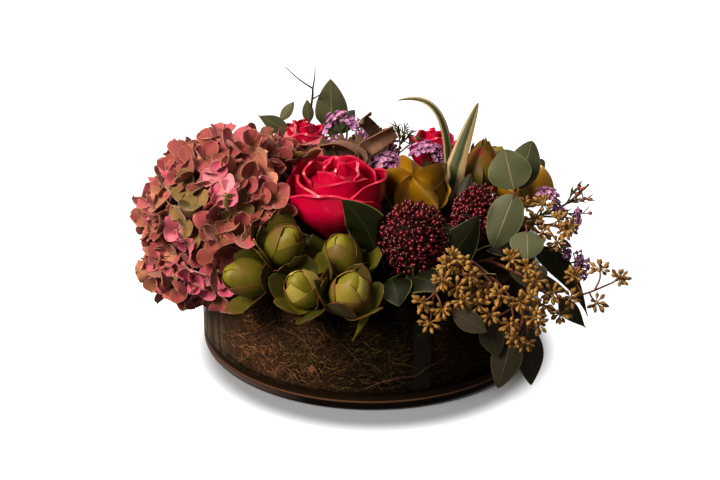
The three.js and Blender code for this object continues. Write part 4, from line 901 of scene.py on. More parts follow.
def blade(root, tip, bend=None, width=20.0, facing=(0, 0, 1), shape="oval", fold=0.12, rows=20,
          columns=10, own=(), ripple=0.03, seed=0, clear=True):
    """A leaf's middle surface as a grid.

    The centre line is the quadratic curve root, bend, tip. A point lies t half widths to the side,
    drops by fold half widths times |t| to the 1.4, and waves by ripple half widths along the edge.
    """
    root, tip, facing = (np.asarray(p, float) for p in (root, tip, facing))
    if bend is None:
        bend = mix(root, tip, 0.5) + facing * 0.08 * np.linalg.norm(tip - root)
    s = (1 - np.cos(np.pi * np.linspace(0, 1, rows + 1) ** 0.9)) / 2
    t = np.linspace(-1, 1, columns + 1)
    share = s[:, None]
    bend = np.asarray(bend, float)
    line = (1 - share) ** 2 * root + 2 * share * (1 - share) * bend + share**2 * tip
    tangent = unit(np.gradient(line, axis=0))
    across = unit(np.cross(tangent, facing))
    up = unit(np.cross(across, tangent))
    half = np.maximum(width / 2 * SHAPES[shape](np.clip(s, 0, 1)), 0.35)[:, None]
    phase = draws(seed).uniform(0, 6.28, 2)
    wave = ripple * np.sin(9 * s[:, None] + phase[0] + 2 * np.sign(t)) * t**2
    lift = (-fold * np.abs(t) ** 1.4 + wave) * half
    grid = line[:, None] + across[:, None] * (t * half)[..., None] + up[:, None] * lift[..., None]
    return (clear_of(grid, own) if clear else grid)[None]


def add_leaf(lot, thickness=0.5, tone=0.0, shade=0.0, **spec):
    """One leaf with its thickness."""
    sheets(lot, blade(**spec), thickness, tone=tone, shade=shade)


LEAFY = {  # the path of each stem, and its leaves: each stalk leaves from a point of the path
    1: ([(93, -32, 92), (99, -33, 112), (101, -38, 127), (105, -52, 121), (108, -66, 112)], [
        dict(stalk=2, root=(101, -33, 128), tip=(94, -28, 156), width=31, facing=(-0.1, -0.95, 0.3),
             shape="round"),
        dict(stalk=1, root=(104, -21, 124), tip=(115, -11, 156), width=25, facing=(0.2, -0.9, 0.3),
             shape="round"),
        dict(stalk=2, root=(99, -58, 134), tip=(85, -70, 99), width=25, facing=(-0.15, -0.95, 0.3),
             shape="round", tone=-0.35),
        dict(stalk=4, root=(108, -67, 110), tip=(108, -80, 95), width=24, facing=(0.1, -0.8, 0.6),
             shape="round"),
    ]),
    2: ([(60, -62, 92), (84, -88, 84), (99, -106, 72), (104, -110, 62)], [
        dict(stalk=3, root=(97, -118, 58), tip=(87, -123, 17), width=21, facing=(-0.2, -0.95, 0.1)),
        dict(stalk=3, root=(108, -106, 56), tip=(111, -111, 13), width=20,
             facing=(0.3, -0.95, 0.1)),
        dict(stalk=2, root=(78, -121, 68), tip=(86, -124, 42), width=17, facing=(-0.1, -0.95, 0.2)),
        dict(stalk=1, root=(54, -129, 80), tip=(77, -134, 66), width=15, facing=(0.1, -0.85, 0.5),
             tone=0.5),
    ]),
    3: ([(96, -52, 84), (116, -66, 80), (128, -72, 70)], [
        dict(stalk=1, root=(96, -80, 85), tip=(137, -76, 68), width=14, facing=(0, -0.8, 0.6),
             tone=0.6),
        dict(stalk=1, root=(112, -76, 88), tip=(118, -86, 78), width=16, facing=(0, -0.8, 0.6),
             shape="round", tone=0.5),
        dict(stalk=2, root=(132, -76, 62), tip=(151, -80, 42), width=13, facing=(-0.3, -0.8, 0.4),
             shape="lance"),
    ]),
    4: ([(-40, 78, 92), (-38, 84, 122), (-34, 80, 136)], [
        dict(stalk=2, root=(-29, 74, 126), tip=(-30, 66, 176), width=25, facing=(0, -1, 0.05)),
        dict(stalk=1, root=(-47, 80, 136), tip=(-48, 76, 156), width=9, facing=(0, -1, 0.1)),
        dict(stalk=1, root=(-26, 84, 126), tip=(-12, 92, 142), width=14, facing=(0.2, -0.9, 0.3)),
    ]),
    5: ([(-72, 54, 92), (-74, 56, 120), (-70, 50, 142)], [
        dict(stalk=2, root=(-61, 45, 142), tip=(-83, 36, 158), width=13, facing=(-0.3, -0.7, 0.6),
             shape="lance"),
        dict(stalk=2, root=(-67, 50, 149), tip=(-57, 52, 163), width=8, facing=(0.1, -0.9, 0.4)),
    ]),
    6: ([(-36, 92, 88), (-50, 114, 90), (-58, 130, 74)], [
        dict(stalk=2, root=(-60, 132, 68), tip=(-66, 140, 32), width=22, facing=(-0.3, 0.9, 0.1)),
        dict(stalk=1, root=(-62, 118, 88), tip=(-92, 126, 76), width=22, facing=(-0.2, 0.7, 0.7),
             shape="round"),
        dict(stalk=1, root=(-44, 120, 90), tip=(-34, 148, 66), width=22, facing=(0, 0.8, 0.6),
             shape="round"),
    ]),
    7: ([(46, 90, 88), (58, 112, 90), (66, 128, 74)], [
        dict(stalk=2, root=(68, 130, 68), tip=(74, 138, 34), width=22, facing=(0.3, 0.9, 0.1)),
        dict(stalk=1, root=(70, 112, 90), tip=(98, 118, 78), width=22, facing=(0.2, 0.7, 0.7),
             shape="round"),
        dict(stalk=1, root=(52, 118, 90), tip=(46, 146, 66), width=22, facing=(0, 0.8, 0.6),
             shape="round"),
    ]),
}
DARK_SPRAYS = (2, 3)  # the hanging leaves at the right, browner and painted darker as shade


def make_leafy(number):
    """A stem with round or long leaves, each on a stalk that sags a little."""
    path, leaves = LEAFY[number]
    lot = Gathered()
    line = stem_line(path, 26)
    tubes(lot, line, np.linspace(1.3, 0.8, 26), paint=1)
    for i, spec in enumerate(leaves):
        spec = dict(spec)
        joint = np.asarray(path[spec.pop("stalk")], float)
        root = np.asarray(spec["root"], float)
        sag = curve([joint, mix(joint, root, 0.5) + vec(0, 0, -1), root,
                     mix(root, vec(*spec["tip"]), 0.1)], 9)
        tubes(lot, sag, np.linspace(0.9, 0.55, 9), paint=1)
        tone = spec.pop("tone", draws(number * 10 + i).uniform(-0.15, 0.25))
        add_leaf(lot, tone=tone, seed=number * 10 + i, ripple=0.06, **spec)
    material = SHADED_BROWN_LEAF if number in DARK_SPRAYS else GREY_LEAF
    piece(f"eucalyptus_leaves_{number}", lot, [material, RED_TWIG],
          [f"eucalyptus_leaf_{number}"])


# Hydrangea

FLORETS = 420
SEPAL_LENGTH = 11.8
SEPAL_DEPTH = 16.0  # from the head's surface to its middle, which is darkened as painted shade
INNER_SHARE = 0.83  # florets nearer to the centre than this share of the radii are left out
FLORET_LEAN = 0.42  # spread of a drawn lean, beside a way of length 1

# Centre, radii and florets of the part behind the rose, and of the part that hangs over the rim
SHOULDER = (vec(-58, 12, 117), vec(30, 27, 24), 44)
SKIRT = (vec(-124, -46, 77), vec(32, 31, 22), 84)

PATCHES = [  # centre, radius and tone of places where most florets have one colour
    ((-127, -76, 127), 15, 0.07),  # olive
    ((-142, -52, 138), 11, 0.17),  # tan
    ((-107, -67, 146), 9, 0.93),  # bright pink
    ((-90, -79, 135), 8, 0.04),  # brown
    ((-153, -49, 71), 15, 0.25),  # peach
    ((-117, -84, 81), 17, 0.9),  # bright pink
    ((-135, -79, 107), 9, 0.86),  # pink
    ((-76, -45, 155), 10, 0.25),  # peach
    ((-100, -90, 114), 10, 0.36),  # red brown
]


def sepals(count, draw):
    """Local grids of four sepals for each floret, count by four.

    A sepal's half width is a sine of its length to the 1.15, to the 0.6. Its height is a slope, a
    curl with the square of the length, a cup with the square of the width, a roll to one side and a
    turned-up rim with the fourth power of the width.
    """
    s = 1 - (1 - np.linspace(0, 1, 7)[:, None]) ** 1.5
    t = np.linspace(-1, 1, 5)[None]
    one = (count, 4, 1, 1)
    length = SEPAL_LENGTH * draw.uniform(0.82, 1.15, one)
    half = np.maximum(0.58 * length * np.sin(np.pi * s**1.15) ** 0.6, 0.4)
    slope = draw.uniform(-0.3, 0.95, one)
    curl = draw.uniform(-0.6, 0.45, one)
    cup = draw.uniform(-0.3, 1.0, one)
    roll = draw.uniform(-0.45, 0.45, one)
    wave = 0.08 * np.sin(6 * s + 3 * t + draw.uniform(0, 6.28, one))
    reach = 0.9 + length * s * (1 - 0.16 * slope**2)
    side = t * half
    height = length * (slope * s + curl * s**2 + wave * s) + cup * side**2 / length
    height = height + roll * side * s + draw.uniform(-0.12, 0.35, one) * half * t**4
    quarter = (np.arange(4) * np.pi / 2)[None, :, None, None] + draw.normal(0, 0.12, one)
    height = height + 0.3 * (np.arange(4) % 2)[None, :, None, None]
    across = side * (1 - 0.12 * np.abs(cup))
    return np.stack([
        reach * np.cos(quarter) - across * np.sin(quarter),
        reach * np.sin(quarter) + across * np.cos(quarter),
        height,
    ], axis=-1)


def make_hydrangea():
    """Florets at golden angles all over an oval, leaning every way, over a middle in painted shade.
    """
    centre, radii = SPACES["hydrangea"]
    draw = draws(11)
    bases, axes = [], []
    for place, size, count in ((centre, radii - vec(3, 2, 1), FLORETS), SHOULDER, SKIRT):
        way = golden_ways(1 - 2 * (np.arange(count) + 0.5) / count)
        depth = draw.uniform(0.82, 1.03, count)[:, None]
        base = way * size * depth + place
        axis = unit(unit(way / size) + draw.normal(0, FLORET_LEAN, (count, 3)))
        inner = np.linalg.norm((base - centre) / radii, axis=-1) < INNER_SHARE
        kept = ~taken(base, ["hydrangea"], -3) & ~inner
        bases.append(base[kept])
        axes.append(axis[kept])
    base, axis = np.concatenate(bases), np.concatenate(axes)
    count = len(base)
    turns = stand(axis, draw.uniform(0, 6.28, count))
    tone = np.clip(draw.normal(0.50, 0.13, count), 0.3, 0.78)
    odd = draw.random(count)
    tone = np.where(odd < 0.09, draw.uniform(0.05, 0.28, count), tone)
    tone = np.where(odd > 0.93, draw.uniform(0.78, 0.99, count), tone)
    for place, size, patch_tone in PATCHES:
        apart = np.linalg.norm(base - vec(*place), axis=-1) / size
        tone = np.where(np.exp(-(apart**2)) > draw.uniform(0.15, 0.6, count), patch_tone, tone)
    points = put(sepals(count, draw), turns, base)
    points = clear_of(points, ["hydrangea"], 0.5)
    lot = Gathered()
    each_tone = tone[:, None, None, None] + draw.uniform(-0.07, 0.07, (count, 4, 1, 1))
    # Painted shade: the deeper a sepal lies in the head, the darker it is.
    outward = np.linalg.norm((points - centre) / radii, axis=-1)
    painted_shade = np.clip((0.99 - outward) * 2.6, 0, 0.75)
    rows, columns = points.shape[2:4]
    sheets(lot, points.reshape(-1, rows, columns, 3), 0.3,
           tone=np.broadcast_to(each_tone, points.shape[:-1]).reshape(-1, rows, columns),
           shade=painted_shade.reshape(-1, rows, columns))
    bud = [(0, -0.6), (0.9, 0), (1.1, 0.7), (0.7, 1.3), (0, 1.6)]
    turned(lot, bud, 6, turns, base, draw.uniform(0.8, 1.3, count), tone=0.12, along=0.15)
    # The middle is darkened as painted shade, seen between the florets.
    middle, quads, triangles = ball(24, 12, 1.35)
    middle = clear_of(middle * (radii - SEPAL_DEPTH) + centre, ["hydrangea"], 2.0)
    lot.add(middle, quads, triangles, tone=0.4, shade=0.8)
    piece("hydrangea", lot, [SEPAL], ["hydrangea_head"], sharp=60)


# Waxed roses

PETAL_STEP = 2.4  # angle from one petal, or closed bract, to the next
PETAL_THICKNESS = 0.9
RIM_BEAD = 1.0  # what the wax adds to the thickness at the rim
BELLY = 0.62  # share of its height where a petal is widest
ROLL_START = 0.82  # share of its height where a petal starts to roll out
SHORT_PETALS = 0.6  # height of an olive rose's petals, as a share of the rose's
ROSES = {
    "rose_red_1": dict(base=(-23, -42, 98), axis=(-0.03, -0.02, 1.0), radius=41, height=54,
                       petals=11, spin=-0.65),
    "rose_red_2": dict(base=(-49, 47, 111), axis=(-0.05, 0.1, 0.99), radius=21, height=38, petals=8,
                       spin=0.6),
    "rose_red_3": dict(base=(46, 51, 104), axis=(0.05, 0.1, 0.97), radius=22, height=36, petals=8,
                       spin=1.6),
    "rose_olive_1": dict(base=(34, -6, 105.5), axis=(-0.12, -0.58, 0.80), radius=26, height=37,
                         petals=6, spin=0.2),
    "rose_olive_2": dict(base=(102, 18, 94), axis=(0.4, 0.0, 0.9), radius=25, height=34, petals=7,
                         spin=0.6),
}


def petals_of_rose(base, axis, radius, height, petals, spin, point=0.16, lip=3.2):
    """Petals in a spiral, as grids.

    The distance from the axis grows with the whole turn, from foot to belly as a sine of the
    height, and rolls out at the rim, most at the petal's sides. The rim comes to a peak at its
    middle, higher in the outer petals, and falls to both sides.
    """
    k = np.arange(petals)[:, None, None]
    s = np.linspace(0, 1, 22)[None, :, None]
    t = np.linspace(-1, 1, 26)[None, None, :]
    layer = k / (petals - 1)
    turn = PETAL_STEP * k
    last = (petals - 1) * PETAL_STEP + 1.1
    belly = radius * mix(0.20, 0.95, (np.maximum(turn + t, 0) / last) ** 0.85)
    half = np.radians(mix(76, 68, layer)) * mix(0.7, 1, np.minimum(s / 0.5, 1)) * (1 - 0.25 * s**5)
    rise = s * (1 - point * mix(0.7, 1.75, layer) * np.abs(t) ** 1.25)
    edge = np.clip((rise - ROLL_START) / (1 - ROLL_START), 0, 1)
    fold = 0.35 + 1.25 * np.abs(t) ** 1.3 + 0.3 * np.sin(5 * t + 0.9 * k)
    roll = lip * mix(0.45, 1.2, layer) * edge**2 * fold
    wave = radius * (0.036 * np.sin(3 * t + 1.7 * k)
                     + 0.018 * np.sin(8 * t + 5 * s + 2.9 * k)) * s**1.5
    out = belly * mix(0.36, 1, np.sin(np.minimum(rise / BELLY, 1) * np.pi / 2))
    out = out + radius * mix(-0.14, 0.03, layer) * rise**4 + roll + wave
    fall = mix(1, 0.91, layer**0.8)
    high = height * (fall * rise**0.9 - mix(0, 0.08, layer) * rise**6) + 1.5 - 0.6 * roll
    high = high + height * 0.018 * np.sin(4 * t + 2.1 * k) * s**3
    angle = turn + t * half
    turns = np.repeat(stand(vec(*axis), spin), petals, axis=0)
    return put(round_axis(out, angle, high), turns, np.repeat([base], petals, axis=0))


def make_rose(name):
    """Petals round a closed heart. Olive roses have short petals round a heart of folds."""
    spec = ROSES[name]
    lot = Gathered()
    red = "red" in name
    if red:
        petals = petals_of_rose(**spec)
    else:
        petals = petals_of_rose(**dict(spec, height=SHORT_PETALS * spec["height"]), lip=5)
    tone = draws(5).uniform(-0.1, 0.35, len(petals))[:, None, None]
    rim = np.linspace(0, 1, petals.shape[1])[None, :, None] ** 8
    thick = PETAL_THICKNESS + RIM_BEAD * rim
    sheets(lot, petals, np.broadcast_to(thick, petals.shape[:-1]), tone=tone)
    radius, height = spec["radius"], spec["height"]
    wide = 2.2 if red else 1.0
    heart = [(0, -1), (radius * 0.28, height * 0.05), (radius * 0.24 * wide, height * 0.3),
             (radius * 0.3 * wide, height * 0.62), (radius * 0.22 * wide, height * 0.76),
             (radius * 0.1, height * 0.86), (0, height * 0.88)]
    # The closed heart is darkened by painted shade.
    turned(lot, heart, 16, stand(vec(*spec["axis"]), spec["spin"]), [vec(*spec["base"])], shade=0.3)
    if not red:
        add_folded_heart(lot, spec)
    material, slot, sharp = (RED_WAX, "red_wax", 70) if red else (OLIVE_WAX, "olive_wax", 32)
    piece(name.replace("rose", "waxed_rose"), lot, [material], [name], sharp=sharp)


FOLDS = (0.35, 1.75, 2.75, 3.95, 5.15)  # the ridges where the heart's petals meet, as angles


def add_folded_heart(lot, spec):
    """A half closed heart: a star of creased faces, sharp at each fold and hollow between folds.

    The columns of the grid run along the folds, 24 from each to the next. The crease is 1 at a fold
    and falls to 0 half way to the next, to the power 1.6. The radius is a sine of the share from
    tip to foot. The crease lifts the dome by a sine of the share and draws it out by the share to
    the 1.4.
    """
    radius, height = spec["radius"], spec["height"]
    columns, steps, dome_end = 24, 30, 0.72
    ends = np.append(FOLDS, FOLDS[0] + 2 * np.pi)
    between = np.arange(columns) / columns
    angle = np.concatenate([mix(a, b, between) for a, b in zip(ends[:-1], ends[1:])])[None]
    crease = np.tile((2 * np.abs(between - 0.5)) ** 1.6, len(FOLDS))
    strength = np.repeat([1 - 0.2 * (i % 2) for i in range(len(FOLDS))], columns)
    following = np.roll(strength, -columns)
    nearest = np.where(np.tile(between, len(FOLDS)) < 0.5, strength, following)
    share = np.linspace(0.015, 1, steps)[:, None]
    ridge = (crease * nearest)[None]
    dome = np.minimum(share / dome_end, 1)
    foot = np.clip((share - dome_end) / (1 - dome_end), 0, 1)
    reach = radius * 0.64 * np.sin(dome * np.pi / 2) ** 0.9
    reach = reach * (1 + 0.72 * ridge * dome**1.4 * (1 - foot)) * (1 - 0.5 * foot**1.5)
    high = height * (1 - 0.5 * (1 - np.cos(dome * np.pi / 2))) - 0.4 * height * foot
    high = high + radius * ridge * (0.1 + 0.36 * np.sin(dome * np.pi * 0.75) ** 0.8) * (1 - foot)
    twist = angle - 0.5 * (1 - share) ** 2 + 0.05 * np.sin(7 * share + 2 * angle)
    local = round_axis(reach, twist, high)[::-1]
    turns = stand(vec(*spec["axis"]), spec["spin"])
    base = vec(*spec["base"])
    up = turns[0][:, 2]
    low, top = base + up * height * 0.08, base + up * (height + 0.5)
    # Painted highlight: along rises at each crest, so that the edge colour lines the folds.
    along = np.broadcast_to(0.87 + 0.13 * ridge, reach.shape)[::-1][None]
    rings(lot, put(local[None], turns, [base]), low[None], top[None], tone=0.1, along=along)


def make_rose_stem(name):
    """A cone-shaped cup under the petals on a straight stem into the foam."""
    spec = ROSES[name]
    base, up = vec(*spec["base"]), unit(vec(*spec["axis"]))
    lot = Gathered()
    cup = [base - up * 6, base - up * 4, base - up * 2, base - up * 0.6]
    tubes(lot, np.array(cup), np.array([2.4, 3.2, 4.6, spec["radius"] * 0.2]), sides=12)
    tubes(lot, straight_stem(base - up * 5, 36), 2.4, sides=9)
    piece(name.replace("rose", "waxed_rose") + "_stem", lot, [GREEN_STEM], [name + "_stem"])


# Leucadendron heads

# The egg is a radius, and long is the length of the open bracts. Pale is the tone of the first
# closed bract, and cover is the share of the height that the last one reaches.
LEUCADENDRONS = {
    1: dict(base=(-71, -93, 85), axis=(-0.84, -0.44, 0.32), egg=12, height=36, spread=11, spin=0.4),
    2: dict(base=(-66, -84, 96), axis=(0.4, -0.36, 0.84), egg=12, height=35, spread=11, spin=1.9),
    3: dict(base=(-19, -91, 87), axis=(-0.08, -0.16, 0.98), egg=12.5, height=35, spread=9,
            spin=3.3),
    4: dict(base=(-40, -113, 81), axis=(-0.42, -0.5, 0.76), egg=11.5, height=31, spread=11,
            spin=1.6, pale=0.9, cover=0.56),
    5: dict(base=(-18, -124, 79), axis=(0.24, -0.32, 0.92), egg=12.5, height=33, spread=11,
            spin=5.5, pale=0.9, cover=0.6),
    6: dict(base=(79, 18, 106), axis=(0.12, 0.05, 0.99), egg=11.5, height=42, spread=2, spin=0.9,
            long=38),
    7: dict(base=(-78, 76, 91), axis=(-0.4, 0.5, 0.75), egg=12.5, height=32, spread=7, spin=2.2),
    8: dict(base=(87, 69, 91), axis=(0.5, 0.4, 0.75), egg=12.5, height=32, spread=7, spin=3.8),
}
TULIP_HEAD = 6  # the tall head at the right, flushed red all over
LEANING_BRACT = 5  # the head with one small pointed bract that leans out at the front
BRACTS = 6  # closed bracts of a head, and as many open ones
BRACT_THICKNESS = 0.5
BRACT_WIDTH = 10.4  # half the greatest width of an open bract
TULIP_WIDTH = 10.0  # the same of the tall head
EGG_WIDEST = 0.42  # share of its height where an egg is widest


def egg_radius(share, blunt):
    """An egg's outline: a sine from a narrow collar to its widest, then a rounded fall to its tip.

    The fall is 1 - x to the power 1 + 0.6 / blunt, all to the power blunt: a low value gives a
    round tip.
    """
    rise = mix(0.5, 1, np.sin(np.minimum(share / EGG_WIDEST, 1) * np.pi / 2))
    past = np.clip((share - EGG_WIDEST) / (1 - EGG_WIDEST), 0, 1)
    fall = (1 - past ** (1 + 0.6 / blunt)) ** blunt
    return np.where(share < EGG_WIDEST, rise, fall)


def make_leucadendron(number):
    """Closed bracts round an egg, each lying over the next, in a cup of open bracts.

    A closed bract is a patch of the egg whose half angle falls to its tip as a root of 1 - s to the
    3.2, with one side over its neighbour. An open bract rises from the collar by a sine and spreads
    with a power of its length. Its half width is 1 - |2 q - 1| to the 2.6, to the 0.55, where q is
    s to the 0.9: an oval with a blunt tip. The tall head's open bracts are pointed and lie against
    the egg.
    """
    spec = LEUCADENDRONS[number]
    egg, height, spread = spec["egg"], spec["height"], spec["spread"]
    draw = draws(40 + number)
    own = [f"leucadendron_{number}"]
    base = vec(*spec["base"])
    turns = stand(vec(*spec["axis"]), spec["spin"])
    all_turns, all_bases = np.repeat(turns, BRACTS, axis=0), np.repeat([base], BRACTS, axis=0)
    tulip = number == TULIP_HEAD
    blunt = 1.1 if tulip else 0.66
    lot = Gathered()
    s = (1 - np.cos(np.pi * np.linspace(0, 1, 18)[None, :, None])) / 2
    t = np.linspace(-1, 1, 15)[None, None, :]

    each = (BRACTS, 1, 1)
    k = np.arange(BRACTS).reshape(each)
    layer = k / (BRACTS - 1)
    share = s * mix(0.985, spec.get("cover", 0.80), layer**1.3)
    half = np.radians(mix(60, 84, layer)) * np.sqrt(1 - s**3.2) + 0.02
    angle = PETAL_STEP * k + t * half + 0.3 * s
    reach = egg * egg_radius(share, blunt) + 0.3 + 0.25 * k + 0.3 * t
    flush = draw.uniform(0.2, 1.3, each) + (0.5 if tulip else 0)
    flush[0] = 0.05
    tone = np.linspace(spec.get("pale", 0.35), 0.05, BRACTS).reshape(each)
    tone = tone + draw.uniform(-0.1, 0.2, each)
    points = put(round_axis(reach, angle, height * share), all_turns, all_bases)
    sheets(lot, clear_of(points, own, 0.4), BRACT_THICKNESS, tone=tone, shade=flush)

    long = spec.get("long", 25) * draw.uniform(0.78, 1.02, each)
    rise = np.sin(np.minimum(1.8 * s, 1) * np.pi / 2)
    away = 1.6 * (k % 2)
    reach = mix(egg * 0.5, egg * 0.92 + 2.6, rise) + away
    reach = reach + spread * draw.uniform(0.5, 1.5, each) * s**1.5
    if tulip:
        reach = egg * egg_radius(np.minimum(0.93 * s, 1), blunt) + 1.2 + 0.6 * away
    oval = BRACT_WIDTH * (1 - np.abs(2 * s**0.9 - 1) ** 2.6) ** 0.55
    wide = np.maximum(TULIP_WIDTH * np.sin(np.pi * s**0.8) if tulip else oval, 0.4)
    angle = 2 * np.pi * k / BRACTS + t * wide / reach
    bowed = reach + 0.018 * (t * wide) ** 2
    up = long * (s - 0.05 * np.sin(np.pi * s)) - 1.2 * np.abs(t) ** 2.5 * s
    points = put(round_axis(bowed, angle, up), all_turns, all_bases)
    tone = draw.uniform(-0.25, 0.1, each)
    flush = draw.uniform(0.1, 0.7, each) + (0.7 if tulip else 0)
    sheets(lot, clear_of(points, own, 0.6), BRACT_THICKNESS, tone=tone, shade=flush)

    inner = [(egg * 0.93 * egg_radius(q, blunt), height * q) for q in np.linspace(0.03, 0.93, 8)]
    turned(lot, [(0, 0), *inner, (0, height * 0.96)], 14, turns, [base], tone=0.4, along=0.5)
    tubes(lot, straight_stem(base, 34), 2.2, sides=8, tone=-0.1)
    if number == LEANING_BRACT:
        add_leaf(lot, root=(-9, -120, 84), bend=(2, -138, 88), tip=(-13, -137, 61), width=9,
                 facing=(0.3, -0.9, 0.2), shape="lance", own=own, tone=0.3)
    finish = RED_BRACT if tulip else BRACT
    piece(f"leucadendron_head_{number}", lot, [finish], own, sharp=55)


# Skimmia

SKIMMIAS = {
    1: dict(centre=(29, -84, 113), axis=(0.05, -0.3, 0.95), radii=(23, 22, 28), buds=560, leaves=[
        dict(root=(4, -76, 86), tip=(-20, -86, 142), bend=(4, -92, 122), width=32,
             facing=(-0.25, -0.95, 0.2)),
        dict(root=(40, -86, 88), tip=(73, -86, 131), bend=(58, -96, 104), width=28,
             facing=(0.2, -0.9, 0.35)),
        dict(root=(12, -100, 88), tip=(18, -134, 85), bend=(14, -114, 98), width=26,
             facing=(-0.1, -0.5, 0.85)),
        dict(root=(24, -100, 88), tip=(46, -126, 92), bend=(34, -114, 102), width=24,
             facing=(0.0, -0.6, 0.8)),
    ]),
    2: dict(centre=(74, -45, 113), axis=(0.2, -0.2, 0.95), radii=(17.5, 17.5, 24), buds=380, leaves=[
        dict(root=(73, -41, 94), tip=(112, -62, 84), bend=(92, -52, 98), width=18,
             facing=(0.2, -0.6, 0.8)),
        dict(root=(66, -34, 97), tip=(72, -14, 132), bend=(62, -18, 116), width=16,
             facing=(-0.3, -0.8, 0.4)),
    ]),
    3: dict(centre=(2, 90, 108), axis=(0, 0.4, 0.9), radii=(21, 21, 20), buds=300, leaves=[
        dict(root=(-6, 84, 90), tip=(-40, 122, 84), bend=(-30, 100, 104), width=34,
             facing=(-0.2, 0.5, 0.85)),
        dict(root=(3, 88, 90), tip=(4, 136, 78), bend=(4, 116, 98), width=32,
             facing=(0, 0.5, 0.85)),
        dict(root=(8, 84, 90), tip=(50, 116, 84), bend=(36, 96, 104), width=34,
             facing=(0.2, 0.5, 0.85)),
    ]),
}
BUD = [(0, -1.0), (0.62, -0.78), (0.97, -0.2), (0.9, 0.4), (0.5, 0.88), (0, 1.05)]
BUD_RADII = (1.15, 1.75)


def make_skimmia(number):
    """Small round buds all over a dome, on thin stalks from a middle painted dark as shade, over
    dark leaves.
    """
    spec = SKIMMIAS[number]
    centre, radii = vec(*spec["centre"]), vec(*spec["radii"])
    frame_turn = stand(vec(*spec["axis"]))[0]
    draw = draws(60 + number)
    count = spec["buds"]
    way = golden_ways(1 - 1.75 * (np.arange(count) + 0.5) / count)
    way = unit(way + draw.normal(0, 0.035, (count, 3)))
    depth = draw.uniform(0.74, 1.03, count)[:, None]
    local = way * radii * depth
    base = local @ frame_turn.T + centre
    axes = unit(way / radii) @ frame_turn.T
    lot = Gathered()
    size = draw.uniform(*BUD_RADII, count)
    turned(lot, BUD, 8, stand(axes + draw.normal(0, 0.2, (count, 3))), base, size,
           tone=draw.uniform(-0.3, 0.5, (count, 1, 1)))
    root = (local * 0.6) @ frame_turn.T + centre
    tubes(lot, straight(root, base), 0.4, sides=3, paint=1)
    # The middle is a dark ball: painted shade between the buds.
    middle, quads, triangles = ball(18, 9, 1.3)
    lot.add((middle * (radii * 0.68)) @ frame_turn.T + centre, quads, triangles, paint=2)
    piece(f"skimmia_head_{number}", lot, [BERRY, BUD_STALK, BUD_SHADE],
          [f"skimmia_{number}_buds"])

    under = -unit(vec(*spec["axis"]))
    high = centre + under * (radii[2] - 5.3)
    low = high + under * 6
    lot = Gathered()
    tubes(lot, stem_line([low, high], 8), 2.4, sides=8, paint=1)
    for i, leaf in enumerate(spec["leaves"]):
        root = vec(*leaf["root"])
        tubes(lot, curve([low, mix(low, root, 0.6), root, mix(root, vec(*leaf["tip"]), 0.08)], 8),
              1.2, paint=1)
        add_leaf(lot, thickness=0.7, fold=0.22, shape="leather", seed=number * 7 + i, rows=26,
                 columns=12, tone=draw.uniform(-0.1, 0.15), **leaf)
    piece(f"skimmia_leaves_{number}", lot, [DARK_LEAF, GREEN_STEM],
          [f"skimmia_{number}_leaves"])


# Seeded eucalyptus

SEEDED = {  # the path of each twig, and its knots: the steps to each branch, and the branch's end
    1: ([(55, -80, 87), (54, -105, 99), (47, -119, 97), (41, -127, 88)], [
        (1, (60, -113, 106)), (1.6, (57, -123, 94)), (3, (39, -131, 72)), (2.5, (34, -130, 86)),
        (0.7, (68, -114, 95)), (1.3, (50, -118, 108)), (1.2, (66, -120, 102)),
        (1.0, (55, -112, 112)), (1.8, (47, -126, 100)), (2.0, (60, -127, 87)),
        (2.7, (47, -131, 82)),
    ]),
    2: ([(66, -74, 88), (75, -100, 94), (90, -114, 82), (104, -118, 69), (106, -120, 60)], [
        (1.2, (77, -114, 86)), (1.7, (80, -127, 76)), (2.3, (93, -129, 70)), (2.6, (108, -110, 80)),
        (4, (104, -123, 52)), (3.3, (114, -114, 62)), (1.9, (72, -124, 82)), (2.9, (98, -126, 58)),
        (1.5, (86, -122, 88)), (2.4, (100, -121, 82)), (3.0, (110, -124, 72)),
    ]),
    3: ([(82, -64, 86), (106, -90, 86), (126, -92, 71), (148, -80, 68), (169, -72, 73)], [
        (0.7, (96, -92, 101)), (1.5, (124, -99, 78)), (2.2, (131, -94, 60)), (3, (142, -74, 79)),
        (4, (174, -71, 76)), (3.4, (160, -71, 83)), (3.2, (158, -77, 60)), (0.9, (106, -96, 96)),
        (1.2, (112, -100, 88)), (1.8, (118, -101, 70)), (2.4, (138, -90, 70)),
    ]),
    4: ([(88, -32, 90), (112, -42, 104), (128, -46, 106)], [
        (0.7, (109, -38, 117)), (1.2, (122, -38, 118)), (1.1, (120, -54, 103)),
        (1.7, (131, -54, 96)), (2, (140, -44, 103)), (1.0, (114, -50, 110)), (1.5, (132, -48, 110)),
        (1.8, (136, -52, 104)),
    ]),
}
PODS = 14  # round each knot
POD_OUTLINE = [(0, 0), (0.38, 0.1), (0.42, 3.2), (0.8, 4.4), (1.35, 5.7), (1.5, 6.6), (1.3, 7.4),
               (1.05, 7.6), (0.9, 8.2), (0.3, 8.9), (0, 9.0)]


def rays(count, seed, forward):
    """Ways out of a knot at golden angles, leaning forward along +Z, with a small draw on each."""
    way = golden_ways(mix(1.0, forward, (np.arange(count) + 0.5) / count))
    return unit(way + draws(seed).normal(0, 0.12, (count, 3)))


def point_along(path, steps):
    """The place on a path's straight parts after a number of them."""
    i = min(int(steps), len(path) - 2)
    return mix(vec(*path[i]), vec(*path[i + 1]), steps - i)


